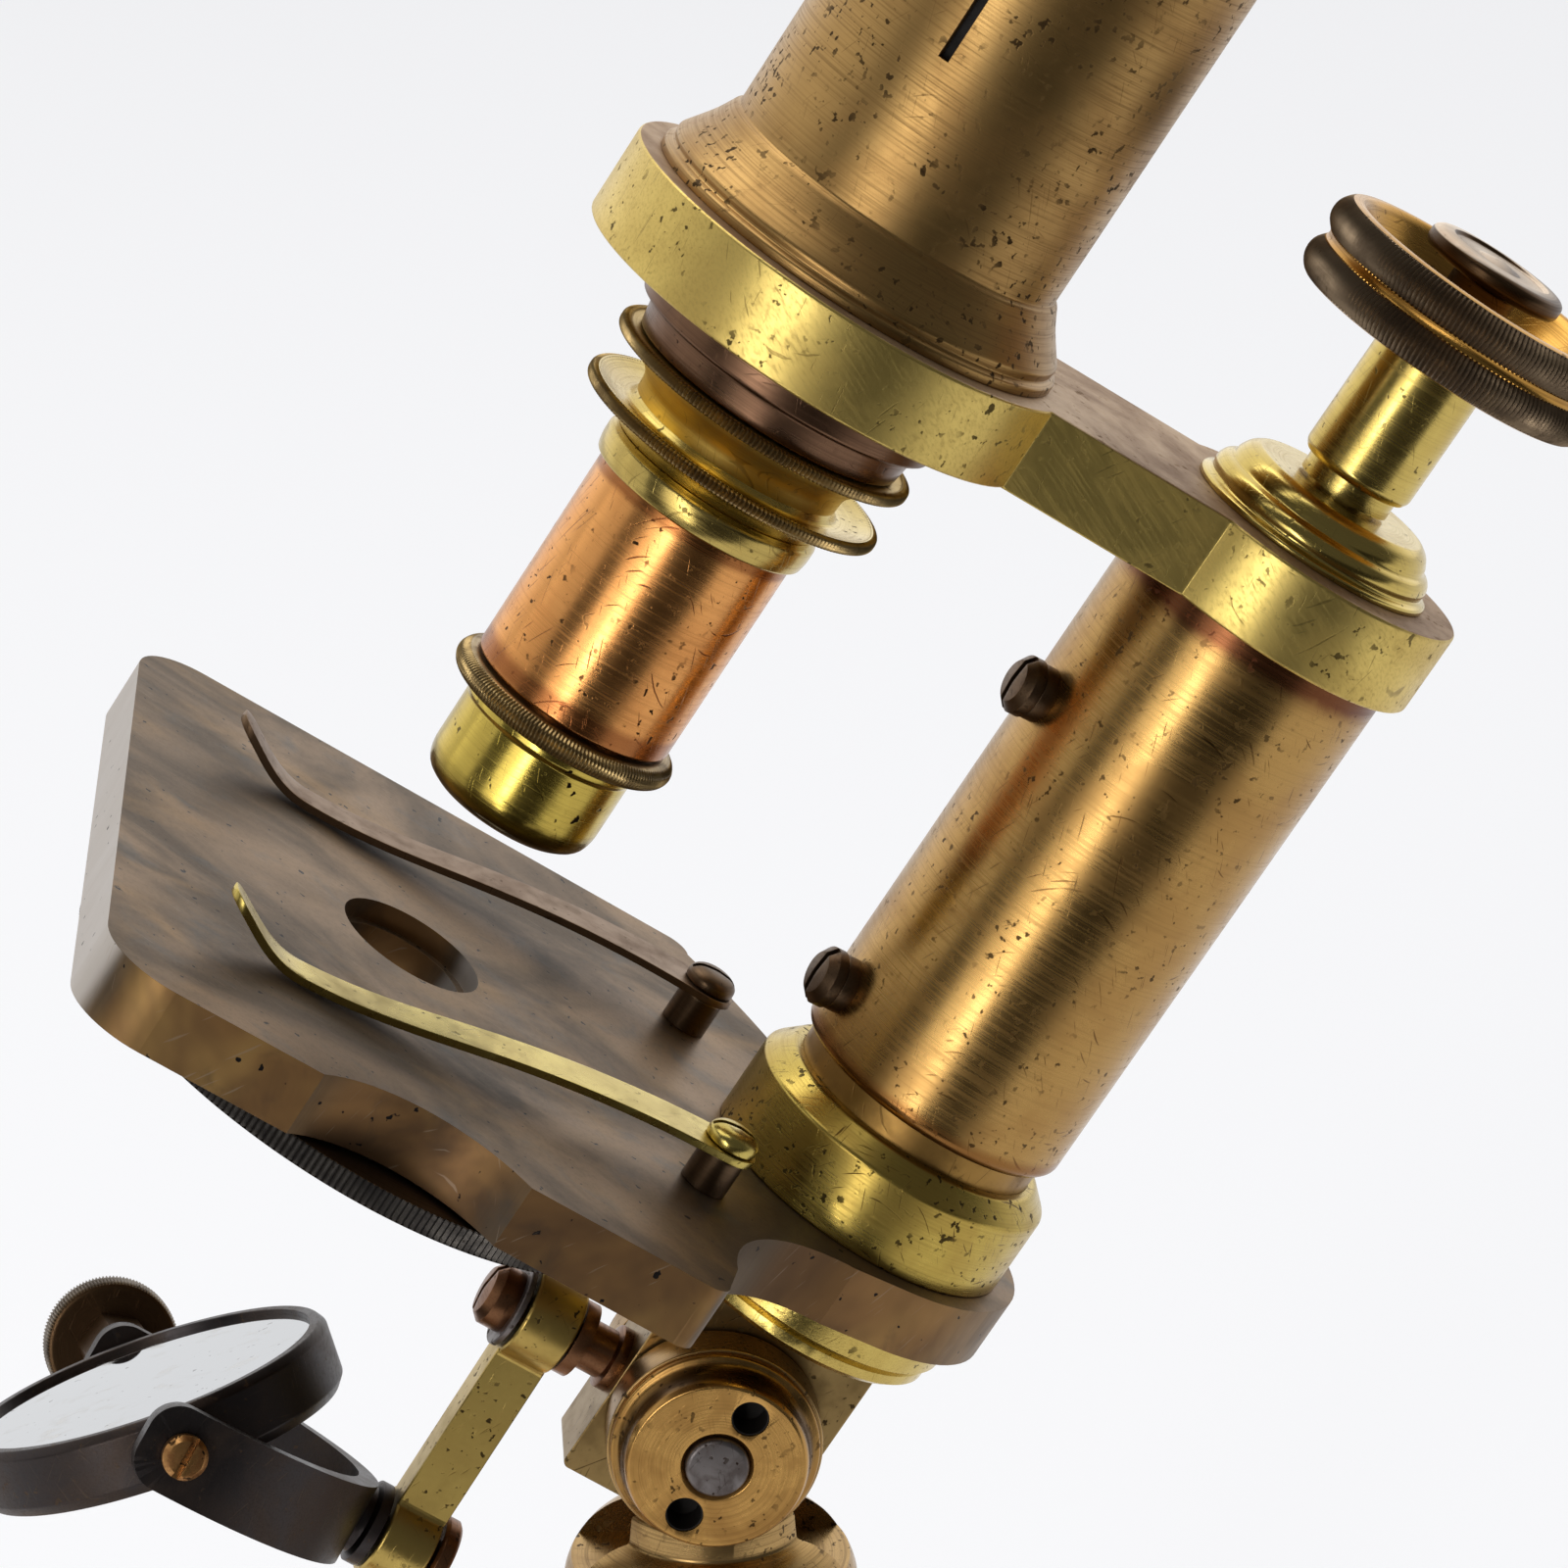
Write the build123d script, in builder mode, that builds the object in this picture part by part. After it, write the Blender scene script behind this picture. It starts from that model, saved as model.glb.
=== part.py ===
from build123d import *
from math import asin, cos, degrees, radians, sin, sqrt
import os

os.makedirs("parts", exist_ok=True)

# Inclined brass compound microscope on a horseshoe foot.
# Row frame: origin on the pillar axis under the foot, +Z up, -X to the stage front, -Y the near side.

# Stance at rest
TILT = 32.5            # body leaned back from upright
CRANK_SWING = 3.5      # mirror crank swung towards the near side
FORK_SWING = 18.2      # fork turned the same way, measured from the limb
MIRROR_TILT = 48.5     # mirror normal leaned from the fork towards the front
HINGE_Z = 98.0         # height of the inclination joint
HINGE_P = 0.3          # joint in front of the column axis
HINGE_S = -23.9        # joint below the stage top, along the limb
RUN = 0.05             # radial running clearance
GAP = 0.3              # gap between bodies that pass each other

# Foot and pillar
FOOT_T = 12.0
FOOT_BEVEL = 2.5
FOOT_HALF = 42.0
FOOT_BACK_X = -8.0
FOOT_TOE_X = -90.0
FOOT_INNER_R = 21.0
FOOT_INNER_X = -40.0
FOOT_TOE_R = 9.0
PLINTH_R = 16.5
PLINTH_T = 3.0
SHAFT_R_LOW = 10.5
SHAFT_R_HIGH = 8.2
BELL_R = 13.1          # widest turned moulding under the fork
FORK_TOP_R = 9.45
BLOCK_HALF = 4.1       # limb block half thickness
CHEEK_OUT = 8.3
SLOT_DEEP = 14.6       # slot floor below the joint

# Inclination joint
PIN_R = 2.8
PIN_END = 12.4
NUT_RIM_R = 9.15
NUT_FACE_R = 7.7
NUT_OUT = 12.0
SPANNER_R = 1.65
NUT_CLEAR = 0.25         # air left round the nuts where the bell is spot-faced for them
SPANNER_AT = 5.35
SPANNER_DEEP = 3.2

# Limb block and column
BLOCK_FRONT = 9.7
BLOCK_BACK = -9.6
BLOCK_LOW = -33.9
BLOCK_TOP = -11.0
BLOCK_CHAMFER = 0.4
LOWER_RING_R = 14.0
STAGE_T = 5.9
SOCKET_R = 14.3
SOCKET_EDGE_S = 7.6
SOCKET_TOP_S = 9.2
SOCKET_MOUTH_R = 12.4
CORE_R = 11.6
CORE_TOP_S = 57.0
CORE_BORE_R = 3.6
SLEEVE_R = 12.75
SLEEVE_LOW_S = 11.5
ARM_LOW_S = 62.7
ARM_TOP_S = 70.3
CAP_R = 10.6
CAP_TOP_R = 8.1
CAP_TOP_S = 74.9
SCREW_ANGLE = 11.0     # column screws turned from the front to the near side
SCREW_HEAD_R = 2.65
SCREW_UP_S = 47.5
SCREW_DOWN_S = 16.7

# Stage
STAGE_FRONT = 73.7
STAGE_HALF = 37.5
STAGE_CORNER_R = 6.5
STAGE_BACK = 15.6
STAGE_BACK_R = 2.0
TAIL_R = 16.2
SWEEP_FAR = (7.6, 25.6)     # hollow of the far rear edge, and where it meets the tail
SWEEP_FAR_END = 2.5
REAR_NEAR = (14.6, 31.0)    # near rear edge: short flat, hollow, sharp shoulder, then the tail
SWEEP_NEAR = (12.0, 22.5)
SHOULDER_NEAR = (1.8, 17.2)
SHOULDER_TAIL = -4.5
SCALLOP_FROM = 34.5
SCALLOP_TO = 53.7
SCALLOP_DEEP = 4.0
AXIS_P = 45.5          # optical axis in front of the column axis
STAGE_HOLE_R = 6.65

# Slide clips
CLIP_P = 17.2
CLIP_U = 17.2
CLIP_POST_R = 2.1
CLIP_POST_T = 3.5
CLIP_SCREW_R = 2.35
CLIP_STEM_R = 1.1
CLIP_W = 5.2
CLIP_ROOT_R = 2.6
CLIP_TIP_R = 1.6
CLIP_LIFT = 0.3
CLIP_T = 0.7
CLIP_REACH = 48.2
CLIP_TOUCH = 39.5
CLIP_TIP_S = 4.6
CLIP_FLAT = 3.5         # flat under the screw
CLIP_SAG = (22.0, 2.5)  # point half way down to the slide
CLIP_CURL = (44.2, 2.1)
CLIP_LEVEL = (1, 0.02)
CLIP_FLICK = (1, 0.55)
CLIP_SPLAY_NEAR = 6.0
CLIP_SPLAY_FAR = 1.8

# Diaphragm wheel
WHEEL_R = 27.8
WHEEL_P = 45.0
WHEEL_U = 9.6
WHEEL_T = 2.1
WHEEL_STEM_R = 1.4
WHEEL_HOLES = (5.0, 3.6, 2.6, 1.8, 1.0)

# Mirror crank, fork and cell
STUD_S = -24.4
CRANK_LEN = 24.2
CRANK_LOW_P = 15.0
CRANK_HIGH_P = 19.8
CRANK_W = 3.9
BARREL_R = 4.2
STUD_R = 1.6
MIRROR_P = 42.4
CELL_R = 16.7
CELL_DEEP = 6.1
GLASS_R = 15.3
GLASS_SEAT_R = 13.8
GLASS_T = 1.2
RIM_LIP = 0.5
FORK_GAP = 18.4
FORK_T = 2.0
FORK_W = 7.6
FORK_NUT_R = 3.9
FORK_NUT_T = 1.6
PIVOT_R = 1.2
KNOB_R = 6.2
KNOB_IN = 30.6
KNOB_OUT = 34.6
KNOB_STEM_R = 2.6

# Body tube and sleeve
RING_R = 21.0          # arm ring round the body
BODY_SLEEVE_R = 15.3
BODY_R = 14.3
BODY_BORE_R = 13.2
FLARE_R = 18.95
FLARE_TOP_S = 76.4
SLEEVE_TOP_S = 128.0
SLIT_LOW_S = 93.0
SLIT_W = 0.9
SLIT_ANGLE = 24.0
BODY_LOW_S = 62.0
BODY_TOP_S = 158.0
BODY_CAP_T = 6.0
BODY_CAP_R = 16.2
DRAW_R = 12.4
DRAW_BORE_R = 11.5
DRAW_LOW_S = 108.0
DRAW_TOP_S = 188.0
EYE_R = 11.45
EYE_BORE_R = 10.6
EYE_LOW_S = 150.0
EYE_CAP_R = 15.2
EYE_CAP_T = 8.0
EYE_HOLE_R = 4.5
LENS_T = 2.5

# Objective
NOSE_R = 13.96
NOSE_LOW_S = 59.4
RING1_R = 14.05
RING1_LOW_S = 55.6
RING1_TOP_S = 56.8
RING2_LOW_S = 50.7
RING2_TOP_S = 51.9
COLLAR_R = 10.1
COLLAR_TOP_S = 48.9
BARREL_TOP_S = 46.0
OBJ_R = 9.25
OBJ_LOW_S = 26.2
RING3_R = 10.55
RING3_LOW_S = 23.6
SNOUT_R = 8.0
SNOUT_LOW_S = 14.6
LENS_R = 3.2

# Fine focus knob
NECK_R = 5.1
NECK_LOW_S = 76.8
KNOB_LOW_S = 88.9
KNOB_RIM_R = 14.1
KNOB_RIM_T = 3.5
KNOB_GROOVE = 0.5
BUTTON_R = 6.4
BUTTON_TOP_S = 98.6
BUTTON_T = 2.0
SPINDLE_R = 3.3

FRONT = Vector(-cos(radians(TILT)), 0, sin(radians(TILT)))
AXIAL = Vector(sin(radians(TILT)), 0, cos(radians(TILT)))
NEAR = Vector(0, -1, 0)
FAR = NEAR * -1
HINGE = Vector(0, 0, HINGE_Z)
LIMB_ORIGIN = HINGE - FRONT * HINGE_P - AXIAL * HINGE_S
CRANK_UP = AXIAL * cos(radians(CRANK_SWING)) - NEAR * sin(radians(CRANK_SWING))
FORK_UP = AXIAL * cos(radians(FORK_SWING)) - NEAR * sin(radians(FORK_SWING))
PIVOT_AXIS = FAR * cos(radians(FORK_SWING)) - AXIAL * sin(radians(FORK_SWING))
PIVOT_LINE = Axis((0, 0, 0), PIVOT_AXIS)
MIRROR_UP = FORK_UP * cos(radians(MIRROR_TILT)) + FRONT * sin(radians(MIRROR_TILT))


def limb_point(p, u, s):
    return LIMB_ORIGIN + FRONT * p + NEAR * u + AXIAL * s


def across(s, p=0.0, u=0.0):
    """Plane square to the optical axis: x to the front, y to the near side."""
    return Plane(origin=limb_point(p, u, s), x_dir=FRONT, z_dir=AXIAL)


def lathe(origin, along, radial):
    """Half-section plane for a turned piece: x is radius, y runs along the axis."""
    return Plane(origin=origin, x_dir=radial, z_dir=radial.cross(along))


def limb_lathe(p=0.0, u=0.0):
    return lathe(limb_point(p, u, 0), AXIAL, FRONT)


def turned(plane, outline):
    with BuildPart() as body:
        with BuildSketch(plane):
            with BuildLine():
                Polyline(*outline, close=True)
            make_face()
        revolve(axis=Axis(plane.origin, plane.y_dir))
    return body


def disc(r, low, high, chamfer=0.0, bore=0.0):
    """Outline of a ring or disc with both outer edges broken."""
    if chamfer > 0:
        edge = [(r - chamfer, low), (r, low + chamfer), (r, high - chamfer), (r - chamfer, high)]
    else:
        edge = [(r, low), (r, high)]
    return [(bore, low)] + edge + [(bore, high)]


def slot_cut(body, plane, width, length, depth):
    """Screwdriver slot sunk into the face that the plane lies on."""
    with BuildPart() as slotted:
        add(body.part)
        with BuildSketch(plane):
            Rectangle(length, width)
        extrude(amount=-depth, mode=Mode.SUBTRACT)
    return slotted


def save(body, name):
    body.part.label = name
    export_step(body.part, f"parts/{name}.step")


# ---------------------------------------------------------------- stand

def make_foot():
    half = FOOT_HALF
    toe = half - 2 * FOOT_TOE_R
    toe_mid = half - FOOT_TOE_R
    tip_x = FOOT_TOE_X - FOOT_TOE_R
    crown_x = FOOT_INNER_X + FOOT_INNER_R
    with BuildPart() as foot:
        with BuildSketch(Plane.XY):
            with BuildLine():
                ThreePointArc((FOOT_BACK_X, -half), (FOOT_BACK_X + half, 0), (FOOT_BACK_X, half))
                Line((FOOT_BACK_X, half), (FOOT_TOE_X, half))
                ThreePointArc((FOOT_TOE_X, half), (tip_x, toe_mid), (FOOT_TOE_X, toe))
                Line((FOOT_TOE_X, toe), (FOOT_INNER_X, FOOT_INNER_R))
                ThreePointArc((FOOT_INNER_X, FOOT_INNER_R), (crown_x, 0), (FOOT_INNER_X, -FOOT_INNER_R))
                Line((FOOT_INNER_X, -FOOT_INNER_R), (FOOT_TOE_X, -toe))
                ThreePointArc((FOOT_TOE_X, -toe), (tip_x, -toe_mid), (FOOT_TOE_X, -half))
                Line((FOOT_TOE_X, -half), (FOOT_BACK_X, -half))
            make_face()
        extrude(amount=FOOT_T)
        chamfer(foot.edges().group_by(Axis.Z)[-1], FOOT_BEVEL)
    return foot


def make_plinth():
    top = FOOT_T + PLINTH_T
    outline = [(0, FOOT_T), (PLINTH_R, FOOT_T), (PLINTH_R, top - 1), (PLINTH_R - 1, top), (0, top)]
    return turned(lathe(Vector(0, 0, 0), Vector(0, 0, 1), Vector(1, 0, 0)), outline)


def make_pillar():
    base = FOOT_T + PLINTH_T
    h = HINGE_Z
    neck = h - 34.0
    outline = [
        (0, base), (14.0, base), (14.6, base + 1.2), (14.0, base + 2.6), (12.4, base + 3.2),
        (12.0, base + 5.0), (SHAFT_R_LOW, base + 8.5), (SHAFT_R_HIGH, neck), (9.2, neck + 5.0),
        (10.8, h - 24.4), (12.0, h - 22.4), (12.0, h - 20.8), (11.4, h - 20.6), (11.4, h - 19.4),
        (12.3, h - 19.0), (BELL_R, h - 17.6), (BELL_R, h - 15.8), (12.8, h - 14.3), (12.1, h - 12.9),
        (11.1, h - 11.7), (9.9, h - 10.7), (8.5, h - 10.0), (0, h - 10.0),
    ]
    side = Plane(origin=HINGE + FAR * -CHEEK_OUT, x_dir=(1, 0, 0), z_dir=(0, 1, 0))
    pillar = turned(lathe(Vector(0, 0, 0), Vector(0, 0, 1), Vector(1, 0, 0)), outline)
    with BuildPart() as forked:
        add(pillar.part)
        with BuildSketch(side):
            Circle(FORK_TOP_R)
        extrude(amount=2 * CHEEK_OUT)
        with BuildSketch(side):
            with Locations((0, FORK_TOP_R * 0.6)):
                Rectangle(FORK_TOP_R * 1.8, FORK_TOP_R * 1.2)
        extrude(amount=2 * CHEEK_OUT)
        with BuildSketch(Plane(origin=(0, 0, h - SLOT_DEEP), z_dir=(0, 0, 1))):
            Rectangle(4 * FORK_TOP_R, 2 * (BLOCK_HALF + GAP))
        extrude(amount=SLOT_DEEP + 2 * FORK_TOP_R, mode=Mode.SUBTRACT)
        with BuildSketch(side):
            Circle(PIN_R)
        extrude(amount=2 * CHEEK_OUT, mode=Mode.SUBTRACT)
        for out in (NEAR, FAR):
            with BuildSketch(Plane(origin=HINGE + out * CHEEK_OUT, x_dir=(1, 0, 0), z_dir=out)):
                Circle(NUT_RIM_R + NUT_CLEAR)
            extrude(amount=BELL_R, mode=Mode.SUBTRACT)
    return forked


def make_hinge_pin():
    plane = lathe(HINGE, NEAR, AXIAL)
    return turned(plane, disc(PIN_R, -PIN_END, PIN_END, 0.4))


def make_hinge_nut(side):
    plane = lathe(HINGE, side, AXIAL)
    outline = [
        (PIN_R, CHEEK_OUT), (NUT_RIM_R, CHEEK_OUT),
        (NUT_RIM_R, CHEEK_OUT + 0.6), (8.5, CHEEK_OUT + 0.9),
        (8.1, CHEEK_OUT + 1.6), (8.0, NUT_OUT - 0.5), (NUT_FACE_R, NUT_OUT), (PIN_R, NUT_OUT),
    ]
    nut = turned(plane, outline)
    face = Plane(origin=HINGE + side * NUT_OUT, x_dir=AXIAL, z_dir=side)
    with BuildPart() as drilled:
        add(nut.part)
        with BuildSketch(face):
            with Locations((SPANNER_AT, 0), (-SPANNER_AT, 0)):
                Circle(SPANNER_R)
        extrude(amount=-SPANNER_DEEP, mode=Mode.SUBTRACT)
    return drilled


# ---------------------------------------------------------------- limb

def make_limb_block():
    mid_p = (BLOCK_FRONT + BLOCK_BACK) / 2
    width = BLOCK_FRONT - BLOCK_BACK
    height = BLOCK_TOP - BLOCK_LOW
    face = Plane(origin=limb_point(mid_p, BLOCK_HALF, BLOCK_LOW + height / 2), x_dir=FRONT, z_dir=FAR)
    hinge_face = Plane(origin=limb_point(HINGE_P, BLOCK_HALF, HINGE_S), x_dir=FRONT, z_dir=FAR)
    with BuildPart() as block:
        with BuildSketch(face):
            corners = Rectangle(width, height).vertices()
            low = corners.sort_by(Axis((0, 0, 0), (0, 1, 0)))
            chamfer(low[0:2], BLOCK_CHAMFER)
        extrude(amount=2 * BLOCK_HALF)
        with BuildSketch(hinge_face):
            Circle(PIN_R + RUN)
        extrude(amount=2 * BLOCK_HALF, mode=Mode.SUBTRACT)
    return block


def make_lower_ring():
    top = -STAGE_T
    outline = [
        (0, BLOCK_TOP), (12.6, BLOCK_TOP), (13.4, BLOCK_TOP + 0.6), (13.4, BLOCK_TOP + 1.5),
        (13.0, BLOCK_TOP + 1.8), (LOWER_RING_R, BLOCK_TOP + 2.3), (LOWER_RING_R, top - 0.6),
        (LOWER_RING_R - 0.6, top), (0, top),
    ]
    return turned(limb_lathe(), outline)


def stage_side(side):
    """One side of the stage's edge, from the middle of its front to the end of its tail."""
    corner = STAGE_HALF - STAGE_CORNER_R
    nose = STAGE_FRONT - STAGE_CORNER_R
    slant = STAGE_CORNER_R * sin(radians(45))
    mid = (SCALLOP_FROM + SCALLOP_TO) / 2
    rear = STAGE_BACK + STAGE_BACK_R
    turn = STAGE_HALF - STAGE_BACK_R
    soft = STAGE_BACK_R * sin(radians(45))
    tail_p = -TAIL_R * sin(radians(45))
    Line((STAGE_FRONT, 0), (STAGE_FRONT, side * corner))
    round_mid = (nose + slant, side * (corner + slant))
    ThreePointArc((STAGE_FRONT, side * corner), round_mid, (nose, side * STAGE_HALF))
    if side > 0:
        Line((nose, STAGE_HALF), (SCALLOP_TO, STAGE_HALF))
        ThreePointArc((SCALLOP_TO, STAGE_HALF), (mid, STAGE_HALF - SCALLOP_DEEP), (SCALLOP_FROM, STAGE_HALF))
        Line((SCALLOP_FROM, STAGE_HALF), (rear, STAGE_HALF))
    else:
        Line((nose, side * STAGE_HALF), (rear, side * STAGE_HALF))
    ThreePointArc((rear, side * STAGE_HALF), (rear - soft, side * (turn + soft)), (STAGE_BACK, side * turn))
    if side > 0:
        tail = (SHOULDER_TAIL, sqrt(TAIL_R ** 2 - SHOULDER_TAIL ** 2))
        Line((STAGE_BACK, turn), REAR_NEAR)
        ThreePointArc(REAR_NEAR, SWEEP_NEAR, SHOULDER_NEAR)
        Line(SHOULDER_NEAR, tail)
    else:
        tail = (SWEEP_FAR_END, -sqrt(TAIL_R ** 2 - SWEEP_FAR_END ** 2))
        ThreePointArc((STAGE_BACK, -turn), (SWEEP_FAR[0], -SWEEP_FAR[1]), tail)
    ThreePointArc(tail, (tail_p, -side * tail_p), (-TAIL_R, 0))


def make_stage():
    hole = across(-STAGE_T, AXIS_P)
    step = across(-2.0, AXIS_P)
    with BuildPart() as stage:
        with BuildSketch(across(-STAGE_T)):
            with BuildLine():
                stage_side(1)
                stage_side(-1)
            make_face()
        extrude(amount=STAGE_T)
        with BuildSketch(hole):
            Circle(STAGE_HOLE_R - 0.8)
        extrude(amount=STAGE_T, mode=Mode.SUBTRACT)
        with BuildSketch(step):
            Circle(STAGE_HOLE_R)
        extrude(amount=2.0, mode=Mode.SUBTRACT)
        with BuildSketch(across(-STAGE_T, WHEEL_P, WHEEL_U)):
            Circle(WHEEL_STEM_R)
        extrude(amount=3.5, mode=Mode.SUBTRACT)
    return stage


def make_socket():
    mid = SOCKET_EDGE_S - 0.3
    outline = [
        (CORE_R, 0), (SOCKET_R, 0), (SOCKET_R, mid), (SOCKET_R - 0.2, SOCKET_EDGE_S),
        (SOCKET_MOUTH_R + 0.4, SOCKET_TOP_S - 0.2), (SOCKET_MOUTH_R, SOCKET_TOP_S),
        (CORE_R, SOCKET_TOP_S),
    ]
    return turned(limb_lathe(), outline)


def make_core():
    outline = [
        (0, 0), (CORE_R, 0), (CORE_R, CORE_TOP_S - 0.8), (CORE_R - 0.8, CORE_TOP_S),
        (CORE_BORE_R, CORE_TOP_S), (CORE_BORE_R, CORE_TOP_S - 25.0), (0, CORE_TOP_S - 25.0),
    ]
    return turned(limb_lathe(), outline)


def make_clip_post(side):
    plane = limb_lathe(CLIP_P, side * CLIP_U)
    return turned(plane, disc(CLIP_POST_R, 0, CLIP_POST_T, 0.3))


def make_clip_screw(side):
    low = CLIP_POST_T
    seat = low + CLIP_T + 0.1
    outline = [
        (0, low), (CLIP_STEM_R, low), (CLIP_STEM_R, seat), (CLIP_SCREW_R, seat),
        (CLIP_SCREW_R, seat + 0.9), (CLIP_SCREW_R - 0.8, seat + 1.5), (0, seat + 1.7),
    ]
    screw = turned(limb_lathe(CLIP_P, side * CLIP_U), outline)
    return slot_cut(screw, across(seat + 1.7, CLIP_P, side * CLIP_U), 0.6, 2 * CLIP_SCREW_R + 1, 0.8)


def make_clip_leaf(side, splay):
    """Sprung leaf: flat under its screw, bowed down to the slide, tip turned up."""
    mid = CLIP_POST_T + 0.05 + CLIP_T / 2
    touch = CLIP_LIFT + CLIP_T / 2
    turn = radians(splay)
    ahead = FRONT * cos(turn) + NEAR * (side * sin(turn))
    origin = limb_point(CLIP_P, side * CLIP_U, 0)
    with BuildPart() as leaf:
        with BuildSketch(Plane(origin=origin, x_dir=ahead, z_dir=ahead.cross(AXIAL))):
            with BuildLine():
                flat = Line((-CLIP_ROOT_R, mid), (CLIP_FLAT, mid))
                fall = Spline(flat @ 1, CLIP_SAG, (CLIP_TOUCH, touch), tangents=(flat % 1, CLIP_LEVEL))
                Spline(fall @ 1, CLIP_CURL, (CLIP_REACH, CLIP_TIP_S), tangents=(CLIP_LEVEL, CLIP_FLICK))
            trace(line_width=CLIP_T)
        extrude(amount=CLIP_W, both=True)
        with BuildSketch(Plane(origin=origin, x_dir=ahead, z_dir=AXIAL)):
            Circle(CLIP_ROOT_R)
            with Locations((CLIP_REACH - CLIP_TIP_R, 0)):
                Circle(CLIP_TIP_R)
            make_hull()
        extrude(amount=2 * CLIP_TIP_S, mode=Mode.INTERSECT)
        with BuildSketch(across(0, CLIP_P, side * CLIP_U)):
            Circle(CLIP_STEM_R + RUN)
        extrude(amount=2 * CLIP_TIP_S, mode=Mode.SUBTRACT)
    return leaf


def make_wheel():
    low = -STAGE_T - GAP - WHEEL_T
    plane = limb_lathe(WHEEL_P, WHEEL_U)
    wheel = turned(plane, disc(WHEEL_R, low, low + WHEEL_T, 0.25, WHEEL_STEM_R + RUN))
    reach = sqrt(WHEEL_U ** 2 + (AXIS_P - WHEEL_P) ** 2)
    start = -degrees(asin(WHEEL_U / reach))
    turn = 360 / len(WHEEL_HOLES)
    with BuildPart() as pierced:
        add(wheel.part)
        with BuildSketch(across(low, WHEEL_P, WHEEL_U)):
            for number, radius in enumerate(WHEEL_HOLES):
                with PolarLocations(reach, 1, start_angle=start + number * turn):
                    Circle(radius)
        extrude(amount=WHEEL_T, mode=Mode.SUBTRACT)
    return pierced


def make_wheel_screw():
    low = -STAGE_T - GAP - WHEEL_T - GAP
    outline = [
        (0, low - 1.4), (2.4, low - 1.4), (3.0, low - 0.9), (3.0, low), (WHEEL_STEM_R, low),
        (WHEEL_STEM_R, -STAGE_T + 3.4), (0, -STAGE_T + 3.4),
    ]
    screw = turned(limb_lathe(WHEEL_P, WHEEL_U), outline)
    under = Plane(origin=limb_point(WHEEL_P, WHEEL_U, low - 1.4), x_dir=FRONT, z_dir=AXIAL * -1)
    return slot_cut(screw, under, 0.7, 7, 0.7)


# ---------------------------------------------------------------- mirror

def stud_lathe():
    return lathe(limb_point(0, 0, STUD_S), FRONT, AXIAL)


def make_mirror_stud():
    outline = [
        (0, BLOCK_FRONT), (3.0, BLOCK_FRONT), (3.0, BLOCK_FRONT + 0.9), (2.3, BLOCK_FRONT + 1.1),
        (2.3, 13.3), (3.5, 13.4), (3.5, CRANK_LOW_P - GAP), (STUD_R, CRANK_LOW_P - GAP),
        (STUD_R, CRANK_HIGH_P + GAP), (0, CRANK_HIGH_P + GAP),
    ]
    return turned(stud_lathe(), outline)


def make_stud_washer():
    low = CRANK_HIGH_P + GAP
    return turned(stud_lathe(), disc(BARREL_R - 0.2, low, low + 0.6, 0.1))


def make_stud_screw():
    low = CRANK_HIGH_P + GAP + 0.6
    outline = [(0, low), (2.9, low), (2.9, low + 1.8), (2.2, low + 2.5), (0, low + 2.8)]
    screw = turned(stud_lathe(), outline)
    face = Plane(origin=limb_point(low + 2.8, 0, STUD_S), x_dir=CRANK_UP, z_dir=FRONT)
    return slot_cut(screw, face, 0.7, 7, 1.2)


def crank_origin():
    return limb_point(0, 0, STUD_S)


def make_crank():
    """Square bar between two barrels, swinging on the stud."""
    low = CRANK_LOW_P
    thick = CRANK_HIGH_P - CRANK_LOW_P
    face = Plane(origin=crank_origin() + FRONT * low, x_dir=CRANK_UP, z_dir=FRONT)
    with BuildPart() as crank:
        with BuildSketch(face):
            Circle(BARREL_R)
            with Locations((-CRANK_LEN, 0)):
                Circle(BARREL_R)
            with Locations((-CRANK_LEN / 2, 0)):
                Rectangle(CRANK_LEN, CRANK_W)
        extrude(amount=thick)
        with BuildSketch(face):
            with Locations((0, 0), (-CRANK_LEN, 0)):
                Circle(STUD_R + RUN)
        extrude(amount=thick, mode=Mode.SUBTRACT)
    return crank


def fork_base():
    return crank_origin() - CRANK_UP * CRANK_LEN


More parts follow.
